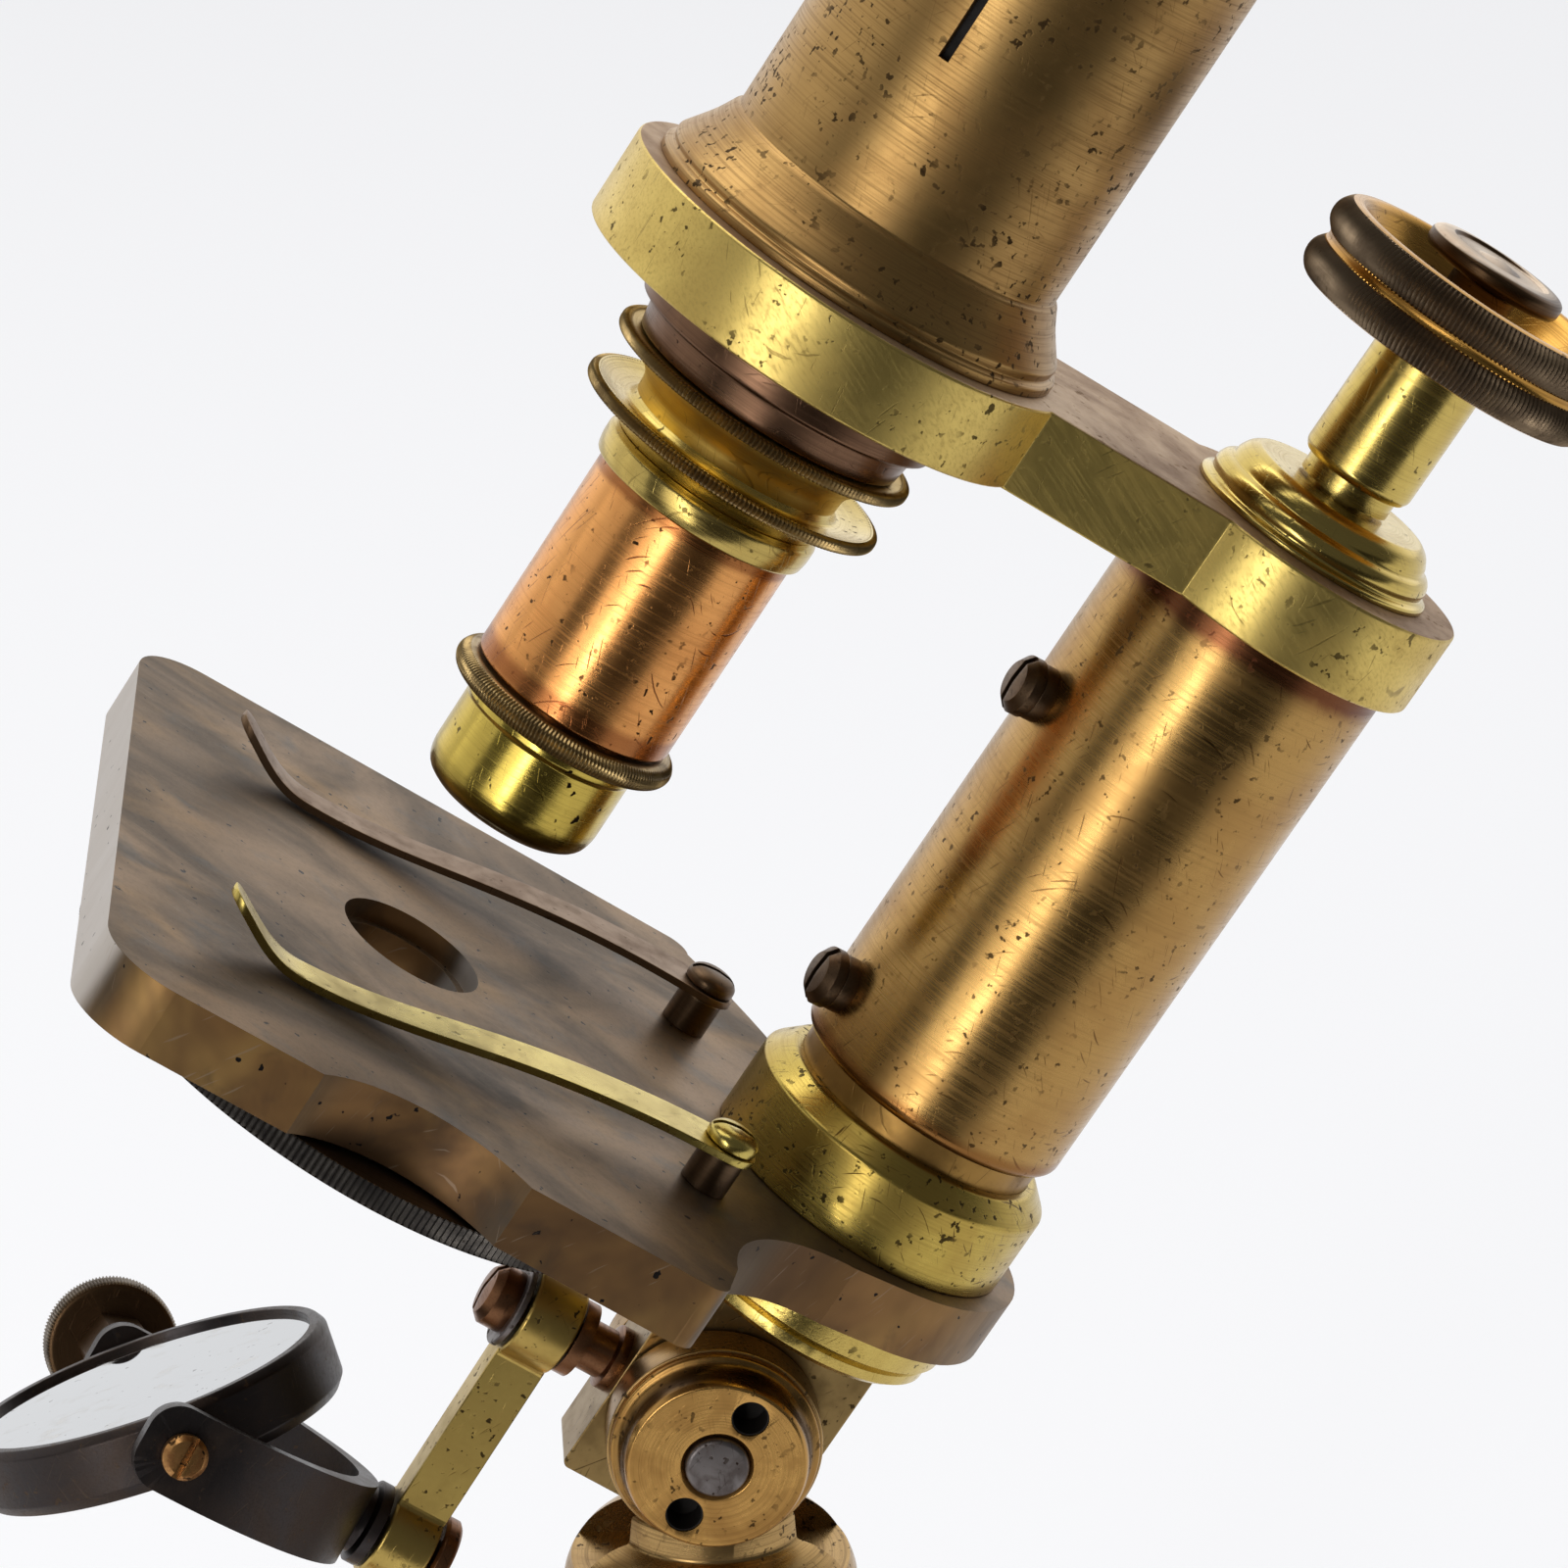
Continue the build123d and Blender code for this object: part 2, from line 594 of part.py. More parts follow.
def make_fork():
    """Half-round fork on a stem that turns in the crank's lower barrel."""
    outer = FORK_GAP + FORK_T
    bend = MIRROR_P - outer
    stem = lathe(fork_base(), FRONT, FORK_UP)
    collar_from = CRANK_HIGH_P + GAP
    outline = [
        (0, CRANK_LOW_P - 0.4), (STUD_R, CRANK_LOW_P - 0.4),
        (STUD_R, collar_from), (FORK_NUT_R, collar_from),
        (FORK_NUT_R, collar_from + 1.0), (3.2, collar_from + 1.3), (3.0, bend + 0.6), (0, bend + 0.6),
    ]
    face = Plane(origin=fork_base() - FORK_UP * (FORK_W / 2), x_dir=FRONT, z_dir=FORK_UP)
    fork = turned(stem, outline)
    with BuildPart() as yoke:
        add(fork.part)
        with BuildSketch(face):
            with Locations((MIRROR_P, 0)):
                Circle(outer)
            with Locations((MIRROR_P + FORK_W / 4, 0)):
                Rectangle(FORK_W / 2, 2 * outer)
            with Locations((MIRROR_P, 0)):
                Circle(FORK_GAP, mode=Mode.SUBTRACT)
            with Locations((MIRROR_P + outer / 2, 0)):
                Rectangle(outer, 2 * FORK_GAP, mode=Mode.SUBTRACT)
            with Locations((MIRROR_P + FORK_W / 2 + outer / 2, 0)):
                Rectangle(outer, 3 * outer, mode=Mode.SUBTRACT)
        extrude(amount=FORK_W)
        with BuildSketch(Plane(origin=mirror_centre() - PIVOT_AXIS * outer, x_dir=FRONT, z_dir=PIVOT_AXIS)):
            Circle(PIVOT_R + RUN)
        extrude(amount=2 * outer, mode=Mode.SUBTRACT)
        tips = yoke.edges().filter_by(PIVOT_LINE).sort_by(Axis(mirror_centre(), FRONT))[-4:]
        fillet(tips, FORK_W * 0.36)
    return yoke


def mirror_centre():
    return fork_base() + FRONT * MIRROR_P


def make_fork_nut():
    stem = lathe(fork_base(), FRONT, FORK_UP)
    top = CRANK_LOW_P - 0.4
    return turned(stem, disc(FORK_NUT_R, top - FORK_NUT_T, top, 0.3))


def cell_lathe():
    return lathe(mirror_centre(), MIRROR_UP, MIRROR_UP.cross(PIVOT_AXIS))


def make_cell():
    top = CELL_DEEP / 2
    floor = top - RIM_LIP - GLASS_T
    outline = [
        (GLASS_SEAT_R, -floor), (GLASS_R, -floor), (GLASS_R, -top),
        (CELL_R - 0.7, -top), (CELL_R, -top + 1.0),
        (CELL_R, top - 0.7), (CELL_R - 0.5, top), (GLASS_R, top),
        (GLASS_R, floor), (GLASS_SEAT_R, floor),
    ]
    cell = turned(cell_lathe(), outline)
    with BuildPart() as bored:
        add(cell.part)
        with BuildSketch(Plane(origin=mirror_centre() - PIVOT_AXIS * CELL_R, x_dir=FRONT, z_dir=PIVOT_AXIS)):
            Circle(PIVOT_R)
        extrude(amount=2 * CELL_R, mode=Mode.SUBTRACT)
    return bored


def make_mirror_glass(side):
    top = CELL_DEEP / 2 - RIM_LIP
    low = top - GLASS_T
    sag = 0.5 if side < 0 else 0.0
    outline = [(0, side * low), (GLASS_R, side * low), (GLASS_R, side * top),
               (GLASS_R * 0.7, side * (top - sag / 2)), (0, side * (top - sag))]
    return turned(cell_lathe(), outline)


def make_mirror_knob():
    """Milled thumb knob on a six-sided neck, pinned into the cell."""
    arm = FORK_GAP + FORK_T
    plane = lathe(mirror_centre(), PIVOT_AXIS, MIRROR_UP)
    outline = [
        (0, GLASS_SEAT_R), (PIVOT_R, GLASS_SEAT_R), (PIVOT_R, arm + GAP),
        (KNOB_STEM_R, arm + GAP), (KNOB_STEM_R, KNOB_IN),
        (KNOB_R - 0.4, KNOB_IN), (KNOB_R, KNOB_IN + 0.4),
        (KNOB_R, KNOB_OUT - 0.5), (KNOB_R - 0.8, KNOB_OUT),
        (0, KNOB_OUT),
    ]
    knob = turned(plane, outline)
    hex_low = arm + GAP + 1.5
    hex_face = Plane(origin=mirror_centre() + PIVOT_AXIS * hex_low, x_dir=MIRROR_UP, z_dir=PIVOT_AXIS)
    with BuildPart() as hexed:
        add(knob.part)
        with BuildSketch(hex_face):
            RegularPolygon(KNOB_STEM_R + 0.8, 6)
        extrude(amount=KNOB_IN - hex_low)
    return hexed


def make_fork_screw():
    arm = FORK_GAP + FORK_T
    plane = lathe(mirror_centre(), PIVOT_AXIS * -1, MIRROR_UP)
    outline = [
        (0, GLASS_SEAT_R), (PIVOT_R, GLASS_SEAT_R), (PIVOT_R, arm + GAP), (1.95, arm + GAP),
        (1.95, arm + 1.2), (1.5, arm + 1.7), (0, arm + 1.8),
    ]
    screw = turned(plane, outline)
    face = Plane(origin=mirror_centre() - PIVOT_AXIS * (arm + 1.8), x_dir=CRANK_UP, z_dir=PIVOT_AXIS * -1)
    return slot_cut(screw, face, 0.6, 6, 0.8)


# ---------------------------------------------------------------- arm and fine focus

def make_column_sleeve():
    outline = [
        (CORE_R + RUN, SLEEVE_LOW_S), (SLEEVE_R - 0.5, SLEEVE_LOW_S), (SLEEVE_R, SLEEVE_LOW_S + 0.6),
        (SLEEVE_R, ARM_LOW_S), (CORE_R + RUN, ARM_LOW_S),
    ]
    return turned(limb_lathe(), outline)


def screw_axis():
    turn = radians(SCREW_ANGLE)
    return FRONT * cos(turn) + NEAR * sin(turn)


def make_screw_bush(s):
    plane = lathe(limb_point(0, 0, s), screw_axis(), AXIAL)
    bush = turned(plane, disc(2.5, CORE_R + 0.5, SLEEVE_R + 1.3, 0.2))
    with BuildPart() as seat:
        with BuildSketch(across(s - 4)):
            Circle(SLEEVE_R)
        extrude(amount=8)
    with BuildPart() as seated:
        add(bush.part)
        add(seat.part, mode=Mode.SUBTRACT)
    return seated


def make_column_screw(s):
    plane = lathe(limb_point(0, 0, s), screw_axis(), AXIAL)
    low = SLEEVE_R + 1.3
    outline = [(0, low), (SCREW_HEAD_R, low), (SCREW_HEAD_R, low + 0.9), (1.9, low + 1.6), (0, low + 1.8)]
    screw = turned(plane, outline)
    face = Plane(origin=limb_point(0, 0, s) + screw_axis() * (low + 1.8), x_dir=AXIAL, z_dir=screw_axis())
    return slot_cut(screw, face, 0.7, 6, 1.0)


def make_arm():
    """Flat bar from the column end to the ring round the body."""
    thick = ARM_TOP_S - ARM_LOW_S
    with BuildPart() as arm:
        with BuildSketch(across(ARM_LOW_S)):
            Circle(14.6)
            with Locations((AXIS_P, 0)):
                Circle(RING_R)
            with Locations((AXIS_P / 2, 0)):
                Rectangle(AXIS_P, 21.6)
            with Locations((3.2, 0)):
                Rectangle(6.0, 26.4)
        extrude(amount=thick)
        with BuildSketch(across(ARM_LOW_S, AXIS_P)):
            Circle(BODY_SLEEVE_R)
        extrude(amount=thick, mode=Mode.SUBTRACT)
        with BuildSketch(across(ARM_LOW_S)):
            Circle(SPINDLE_R + RUN)
        extrude(amount=thick, mode=Mode.SUBTRACT)
    return arm


def make_arm_cap():
    low = ARM_TOP_S
    bore = SPINDLE_R + RUN
    outline = [
        (bore, low), (11.2, low), (11.2, low + 0.5),
        (10.4, low + 0.8), (CAP_R, low + 1.6), (10.2, low + 2.4),
        (9.5, low + 2.7), (9.4, low + 3.2), (8.9, low + 4.1), (CAP_TOP_R, CAP_TOP_S), (bore, CAP_TOP_S),
    ]
    return turned(limb_lathe(), outline)


def make_knob_neck():
    """Polished neck and the micrometer spindle below it."""
    low = CAP_TOP_S + GAP
    outline = [
        (0, CORE_TOP_S - 15), (2.4, CORE_TOP_S - 15), (SPINDLE_R, CORE_TOP_S - 14),
        (SPINDLE_R, low), (4.2, low),
        (4.2, NECK_LOW_S), (4.7, NECK_LOW_S), (NECK_R, NECK_LOW_S + 0.6),
        (NECK_R, KNOB_LOW_S), (0, KNOB_LOW_S),
    ]
    return turned(limb_lathe(), outline)


def make_fine_knob():
    low = KNOB_LOW_S
    first = low + KNOB_RIM_T
    second = first + KNOB_GROOVE
    top = second + KNOB_RIM_T
    outline = [
        (0, low), (9.0, low), (KNOB_RIM_R - 0.9, low + 0.2),
        (KNOB_RIM_R, low + 1.1), (KNOB_RIM_R, first - 0.9),
        (KNOB_RIM_R - 0.9, first), (KNOB_RIM_R - 0.9, second),
        (KNOB_RIM_R, second + 0.9), (KNOB_RIM_R, top - 0.9),
        (KNOB_RIM_R - 0.9, top - 0.1), (12.2, top), (11.6, top - 0.5),
        (9.5, low + 3.0), (6.0, low + 2.0), (0, low + 2.0),
    ]
    return turned(limb_lathe(), outline)


def make_knob_button():
    top = BUTTON_TOP_S
    edge = top - BUTTON_T
    base = KNOB_LOW_S + 2.0
    outline = [
        (0, base), (3.4, base), (3.0, base + 1.2),
        (3.0, edge - 0.4), (BUTTON_R - 0.3, edge), (BUTTON_R, edge + 0.4),
        (BUTTON_R, top - 0.6), (BUTTON_R - 0.5, top - 0.2), (4.6, top - 0.1),
        (4.4, top - 0.4), (2.0, top - 0.4), (0, top),
    ]
    return turned(limb_lathe(), outline)


# ---------------------------------------------------------------- body tube and objective

def make_body_sleeve():
    bore = BODY_R + RUN
    outline = [
        (bore, ARM_LOW_S), (BODY_SLEEVE_R, ARM_LOW_S), (BODY_SLEEVE_R, ARM_TOP_S), (FLARE_R, ARM_TOP_S),
        (FLARE_R, ARM_TOP_S + 0.8), (18.3, ARM_TOP_S + 1.1),
        (18.5, ARM_TOP_S + 1.8), (17.6, ARM_TOP_S + 3.0),
        (16.6, ARM_TOP_S + 4.4), (15.9, FLARE_TOP_S - 0.4),
        (15.7, FLARE_TOP_S), (BODY_SLEEVE_R, FLARE_TOP_S + 0.3),
        (BODY_SLEEVE_R, SLEEVE_TOP_S - 2.0), (BODY_SLEEVE_R + 0.7, SLEEVE_TOP_S - 1.6),
        (BODY_SLEEVE_R + 0.7, SLEEVE_TOP_S - 0.4), (BODY_SLEEVE_R + 0.3, SLEEVE_TOP_S),
        (bore, SLEEVE_TOP_S),
    ]
    sleeve = turned(limb_lathe(AXIS_P), outline)
    turn = radians(SLIT_ANGLE)
    out = NEAR * cos(turn) + FRONT * sin(turn)
    slit = SLEEVE_TOP_S - SLIT_LOW_S
    centre = limb_point(AXIS_P, 0, SLIT_LOW_S + slit / 2 + 1)
    with BuildPart() as split:
        add(sleeve.part)
        with BuildSketch(Plane(origin=centre, x_dir=AXIAL, z_dir=out)):
            Rectangle(slit + 2, SLIT_W)
        extrude(amount=BODY_SLEEVE_R + 3, mode=Mode.SUBTRACT)
    return split


def make_body_tube():
    top = BODY_TOP_S
    outline = [
        (BODY_BORE_R, BODY_LOW_S), (BODY_R, BODY_LOW_S), (BODY_R, top), (BODY_BORE_R, top),
    ]
    return turned(limb_lathe(AXIS_P), outline)


def make_tube_cap():
    low = BODY_TOP_S
    bore = DRAW_R + RUN
    outline = [
        (bore, low), (15.0, low), (BODY_CAP_R, low + 0.7), (BODY_CAP_R, low + 3.4), (15.4, low + 4.2),
        (14.4, low + 4.8), (14.0, low + BODY_CAP_T), (bore, low + BODY_CAP_T),
    ]
    return turned(limb_lathe(AXIS_P), outline)


def make_nosepiece():
    """Threaded nose closing the lower end of the body tube."""
    outline = [
        (7.4, RING1_TOP_S), (12.4, RING1_TOP_S), (12.8, NOSE_LOW_S), (NOSE_R, NOSE_LOW_S + 0.2),
        (NOSE_R, BODY_LOW_S), (BODY_BORE_R, BODY_LOW_S),
        (BODY_BORE_R, BODY_LOW_S + 4), (7.4, BODY_LOW_S + 4),
    ]
    return turned(limb_lathe(AXIS_P), outline)


def make_objective_flange():
    low = RING1_LOW_S
    top = RING1_TOP_S
    outline = [
        (7.4, RING2_TOP_S), (9.7, RING2_TOP_S), (10.1, low - 1.7), (11.4, low - 0.8), (13.4, low),
        (RING1_R, low + 0.3), (RING1_R, top - 0.3), (13.5, top), (7.4, top),
    ]
    return turned(limb_lathe(AXIS_P), outline)


def make_objective_dish():
    low = RING2_LOW_S
    top = RING2_TOP_S
    outline = [
        (6.2, COLLAR_TOP_S), (9.6, COLLAR_TOP_S), (10.8, low - 0.6), (13.3, low), (RING1_R, low + 0.3),
        (RING1_R, top - 0.3), (13.4, top), (11.8, top - 0.55),
        (10.1, top - 0.8), (9.7, top), (6.2, top),
    ]
    return turned(limb_lathe(AXIS_P), outline)


def make_objective_collar():
    low = BARREL_TOP_S
    outline = [
        (6.2, low), (COLLAR_R, low), (COLLAR_R, COLLAR_TOP_S - 0.6),
        (COLLAR_R - 0.6, COLLAR_TOP_S), (6.2, COLLAR_TOP_S),
    ]
    return turned(limb_lathe(AXIS_P), outline)


def make_objective_barrel():
    low = RING3_LOW_S
    outline = [
        (6.2, low), (OBJ_R - 1.8, low), (OBJ_R - 1.8, OBJ_LOW_S),
        (OBJ_R, OBJ_LOW_S), (OBJ_R, BARREL_TOP_S), (6.2, BARREL_TOP_S),
    ]
    return turned(limb_lathe(AXIS_P), outline)


def make_correction_ring():
    low = RING3_LOW_S
    top = OBJ_LOW_S - GAP
    return turned(limb_lathe(AXIS_P), disc(RING3_R, low, top, 0.4, OBJ_R - 1.8 + RUN))


def make_snout():
    low = SNOUT_LOW_S
    top = RING3_LOW_S
    outline = [
        (LENS_R, low), (SNOUT_R - 1.6, low), (SNOUT_R - 0.4, low + 0.7),
        (SNOUT_R, low + 2.0), (SNOUT_R, top - GAP),
        (6.2, top - GAP), (6.2, top), (5.0, top), (5.0, low + 1.4), (LENS_R, low + 1.4),
    ]
    return turned(limb_lathe(AXIS_P), outline)


def make_front_lens():
    low = SNOUT_LOW_S
    return turned(limb_lathe(AXIS_P), disc(LENS_R, low + 0.3, low + 1.4))


def make_draw_tube():
    outline = [
        (DRAW_BORE_R, DRAW_LOW_S), (DRAW_R, DRAW_LOW_S),
        (DRAW_R, DRAW_TOP_S - 2.4), (DRAW_R + 0.7, DRAW_TOP_S - 2.0),
        (DRAW_R + 0.7, DRAW_TOP_S - 0.4), (DRAW_R + 0.3, DRAW_TOP_S), (DRAW_BORE_R, DRAW_TOP_S),
    ]
    return turned(limb_lathe(AXIS_P), outline)


def make_eyepiece_tube():
    return turned(limb_lathe(AXIS_P), disc(EYE_R, EYE_LOW_S, DRAW_TOP_S, 0.2, EYE_BORE_R))


def make_eyepiece_cap():
    low = DRAW_TOP_S
    top = low + EYE_CAP_T
    outline = [
        (EYE_BORE_R, low), (13.6, low), (EYE_CAP_R, low + 0.9),
        (EYE_CAP_R, low + 3.4), (14.4, low + 4.0),
        (14.0, top - 0.8), (13.2, top), (7.4, top),
        (EYE_HOLE_R, top - 1.8), (EYE_HOLE_R, top - 2.6), (EYE_BORE_R, top - 2.6),
    ]
    return turned(limb_lathe(AXIS_P), outline)


def make_eye_lens():
    top = DRAW_TOP_S + EYE_CAP_T - 2.6
    return turned(limb_lathe(AXIS_P), disc(EYE_BORE_R, top - LENS_T, top))


def make_field_lens():
    return turned(limb_lathe(AXIS_P), disc(EYE_BORE_R, EYE_LOW_S + 1.0, EYE_LOW_S + 1.0 + LENS_T))


save(make_foot(), "foot")
save(make_plinth(), "pillar_plinth")
save(make_pillar(), "pillar")
save(make_hinge_pin(), "hinge_pin")
save(make_hinge_nut(NEAR), "hinge_nut_near")
save(make_hinge_nut(FAR), "hinge_nut_far")
save(make_limb_block(), "limb_block")
save(make_lower_ring(), "lower_ring")
save(make_stage(), "stage")
save(make_socket(), "column_socket")
save(make_core(), "column_core")
save(make_clip_post(1), "clip_post_near")
save(make_clip_post(-1), "clip_post_far")
save(make_clip_screw(1), "clip_screw_near")
save(make_clip_screw(-1), "clip_screw_far")
save(make_clip_leaf(1, CLIP_SPLAY_NEAR), "clip_leaf_near")
save(make_clip_leaf(-1, CLIP_SPLAY_FAR), "clip_leaf_far")
save(make_wheel(), "diaphragm_wheel")
save(make_wheel_screw(), "diaphragm_screw")
save(make_mirror_stud(), "mirror_stud")
save(make_stud_washer(), "stud_washer")
save(make_stud_screw(), "stud_screw")
save(make_crank(), "mirror_crank")
save(make_fork(), "mirror_fork")
save(make_fork_nut(), "fork_nut")
save(make_cell(), "mirror_cell")
save(make_mirror_glass(1), "mirror_plane")
save(make_mirror_glass(-1), "mirror_concave")
save(make_mirror_knob(), "mirror_knob")
save(make_fork_screw(), "fork_screw")
save(make_column_sleeve(), "column_sleeve")
save(make_screw_bush(SCREW_UP_S), "screw_bush_upper")
save(make_screw_bush(SCREW_DOWN_S), "screw_bush_lower")
save(make_column_screw(SCREW_UP_S), "column_screw_upper")
save(make_column_screw(SCREW_DOWN_S), "column_screw_lower")
save(make_arm(), "arm")
save(make_arm_cap(), "arm_cap")
save(make_knob_neck(), "knob_neck")
save(make_fine_knob(), "fine_knob")
save(make_knob_button(), "knob_button")
save(make_body_sleeve(), "body_sleeve")
save(make_body_tube(), "body_tube")
save(make_tube_cap(), "tube_cap")
save(make_nosepiece(), "nosepiece")
save(make_objective_flange(), "objective_flange")
save(make_objective_dish(), "objective_dish")
save(make_objective_collar(), "objective_collar")
save(make_objective_barrel(), "objective_barrel")
save(make_correction_ring(), "correction_ring")
save(make_snout(), "objective_snout")
save(make_front_lens(), "front_lens")
save(make_draw_tube(), "draw_tube")
save(make_eyepiece_tube(), "eyepiece_tube")
save(make_eyepiece_cap(), "eyepiece_cap")
save(make_eye_lens(), "eye_lens")
save(make_field_lens(), "field_lens")
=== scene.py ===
import bpy
import math
from mathutils import Matrix, Vector


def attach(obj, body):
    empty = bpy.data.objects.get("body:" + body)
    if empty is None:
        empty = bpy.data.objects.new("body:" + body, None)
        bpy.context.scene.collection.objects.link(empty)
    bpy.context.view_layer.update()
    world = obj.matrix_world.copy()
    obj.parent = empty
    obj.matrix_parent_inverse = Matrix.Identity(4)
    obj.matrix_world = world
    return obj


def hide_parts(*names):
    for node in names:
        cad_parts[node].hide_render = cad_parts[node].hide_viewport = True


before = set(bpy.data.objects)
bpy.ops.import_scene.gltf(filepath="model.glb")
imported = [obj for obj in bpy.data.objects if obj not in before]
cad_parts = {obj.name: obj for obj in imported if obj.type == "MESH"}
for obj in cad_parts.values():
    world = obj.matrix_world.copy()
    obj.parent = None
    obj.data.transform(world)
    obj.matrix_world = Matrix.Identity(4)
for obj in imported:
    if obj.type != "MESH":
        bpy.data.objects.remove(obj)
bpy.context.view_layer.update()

# Inclined brass microscope. Lengths are in millimetres and become metres in place().
MM = 0.001
TILT = math.radians(32.5)          # body leaned back
FORK_SWING = math.radians(18.2)    # mirror fork turned to the near side
CRANK_SWING = math.radians(3.5)
MIRROR_TILT = math.radians(48.5)
HINGE_Z = 98.0
HINGE_P = 0.3
HINGE_S = -23.9
AXIS_P = 45.5                      # optical axis in front of the column axis
FRONT = Vector((-math.cos(TILT), 0, math.sin(TILT)))
AXIAL = Vector((math.sin(TILT), 0, math.cos(TILT)))
NEAR = Vector((0, -1, 0))
UPRIGHT = Vector((0, 0, 1))
HINGE = Vector((0, 0, HINGE_Z))
LIMB = HINGE - FRONT * HINGE_P - AXIAL * HINGE_S
CRANK_UP = AXIAL * math.cos(CRANK_SWING) - NEAR * math.sin(CRANK_SWING)
FORK_UP = AXIAL * math.cos(FORK_SWING) - NEAR * math.sin(FORK_SWING)
PIVOT = -NEAR * math.cos(FORK_SWING) - AXIAL * math.sin(FORK_SWING)
MIRROR_UP = FORK_UP * math.cos(MIRROR_TILT) + FRONT * math.sin(MIRROR_TILT)

STEPS = 160                        # facets round a turned piece
CORNER_STEPS = 4
ON_AXIS = 1e-6
MILLED_MARGIN = 0.6                # milled stretches are divided finely this far past their ends
MILLED_STEP = 0.25


def limb(p, u, s):
    """A point from its distances ahead of the column, to the near side and above the stage top."""
    return LIMB + FRONT * p + NEAR * u + AXIAL * s


def place(origin, along, radial):
    """Matrix of a turned piece: local z runs along its axis, local x starts its circle."""
    z = along.normalized()
    x = (radial - z * radial.dot(z)).normalized()
    y = z.cross(x)
    spot = origin * MM
    return Matrix((
        (x.x, y.x, z.x, spot.x), (x.y, y.y, z.y, spot.y), (x.z, y.z, z.z, spot.z), (0, 0, 0, 1)))


COLUMN = place(LIMB, AXIAL, FRONT)
TUBE = place(limb(AXIS_P, 0, 0), AXIAL, FRONT)


# ---------------------------------------------------------------- geometry helpers

def softened(outline):
    """Rounds the corners of a closed outline: each point is (r, h) or (r, h, radius)."""
    points = []
    count = len(outline)
    for i, corner in enumerate(outline):
        here = Vector(corner[:2])
        size = corner[2] if len(corner) > 2 else 0.0
        if size <= 0 or here.x < ON_AXIS:
            points.append(here)
            continue
        to_last = Vector(outline[i - 1][:2]) - here
        to_next = Vector(outline[(i + 1) % count][:2]) - here
        reach = min(size, 0.48 * to_last.length, 0.48 * to_next.length)
        start = here + to_last.normalized() * reach
        end = here + to_next.normalized() * reach
        for k in range(CORNER_STEPS + 1):
            t = k / CORNER_STEPS
            points.append(start * (1 - t) ** 2 + here * (2 * t * (1 - t)) + end * t ** 2)
    return points


def toothed(points, teeth):
    """Adds points along the milled stretches, so that the teeth end cleanly."""
    low, high = teeth[0], teeth[1]
    dense = []
    for i, here in enumerate(points):
        dense.append(here)
        there = points[(i + 1) % len(points)]
        inside = min(here.y, there.y) > low - MILLED_MARGIN and max(here.y, there.y) < high + MILLED_MARGIN
        pieces = int((there - here).length / MILLED_STEP) if inside else 0
        for k in range(1, pieces):
            dense.append(here.lerp(there, k / pieces))
    return dense


def link(name, mesh, matrix, material, body, nodes=()):
    piece = bpy.data.objects.new(name, mesh)
    bpy.context.scene.collection.objects.link(piece)
    piece.matrix_world = matrix
    mesh.materials.append(material)
    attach(piece, body)
    if nodes:
        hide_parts(*nodes)
    return piece


def shade(mesh, angle=32):
    for polygon in mesh.polygons:
        polygon.use_smooth = True
    mesh.set_sharp_from_angle(angle=math.radians(angle))


def weighted(piece):
    normals = piece.modifiers.new("normals", "WEIGHTED_NORMAL")
    normals.keep_sharp = True
    return piece


def turned_mesh(name, outline, steps=STEPS, teeth=()):
    """Mesh of a closed outline turned about local z; teeth are (low, high, inner r, count, depth, twist)."""
    points = softened(outline)
    for band in teeth:
        points = toothed(points, band)
    vertices = []
    rings = []
    for point in points:
        if point.x < ON_AXIS:
            rings.append([len(vertices)] * steps)
            vertices.append((0, 0, point.y * MM))
            continue
        ring = []
        for k in range(steps):
            angle = 2 * math.pi * k / steps
            r = point.x
            for low, high, inner, count, depth, twist in teeth:
                if low <= point.y <= high and r > inner:
                    r -= depth * (0.5 + 0.5 * math.cos(count * angle + twist * (point.y - low)))
            ring.append(len(vertices))
            vertices.append((r * math.cos(angle) * MM, r * math.sin(angle) * MM, point.y * MM))
        rings.append(ring)
    faces = []
    for i, ring in enumerate(rings):
        following = rings[(i + 1) % len(rings)]
        for k in range(steps):
            face = [ring[k], ring[(k + 1) % steps], following[(k + 1) % steps], following[k]]
            face = list(dict.fromkeys(face))
            if len(face) > 2:
                faces.append(face)
    mesh = bpy.data.meshes.new(name)
    mesh.from_pydata(vertices, [], faces)
    mesh.update()
    return mesh


def turned(name, body, outline, matrix, material, nodes=(), steps=STEPS, teeth=(), rim=None):
    """A turned piece. Its milled bands take the rim's own material, if one is given."""
    mesh = turned_mesh(name, outline, steps, teeth)
    shade(mesh)
    piece = link(name, mesh, matrix, material, body, nodes)
    if rim:
        mesh.materials.append(rim)
        for face in mesh.polygons:
            h = face.center.z / MM
            r = math.hypot(face.center.x, face.center.y) / MM
            if any(low <= h <= high and r > inner for low, high, inner, *_ in teeth):
                face.material_index = 1
    return weighted(piece)


def block_mesh(name, x, y, z):
    """Mesh of a box between the given (low, high) pairs, used only to cut slots."""
    corners = [(a * MM, b * MM, c * MM) for a in x for b in y for c in z]
    faces = [(0, 1, 3, 2), (4, 6, 7, 5), (0, 4, 5, 1), (2, 3, 7, 6), (0, 2, 6, 4), (1, 5, 7, 3)]
    mesh = bpy.data.meshes.new(name)
    mesh.from_pydata(corners, [], faces)
    mesh.update()
    return mesh


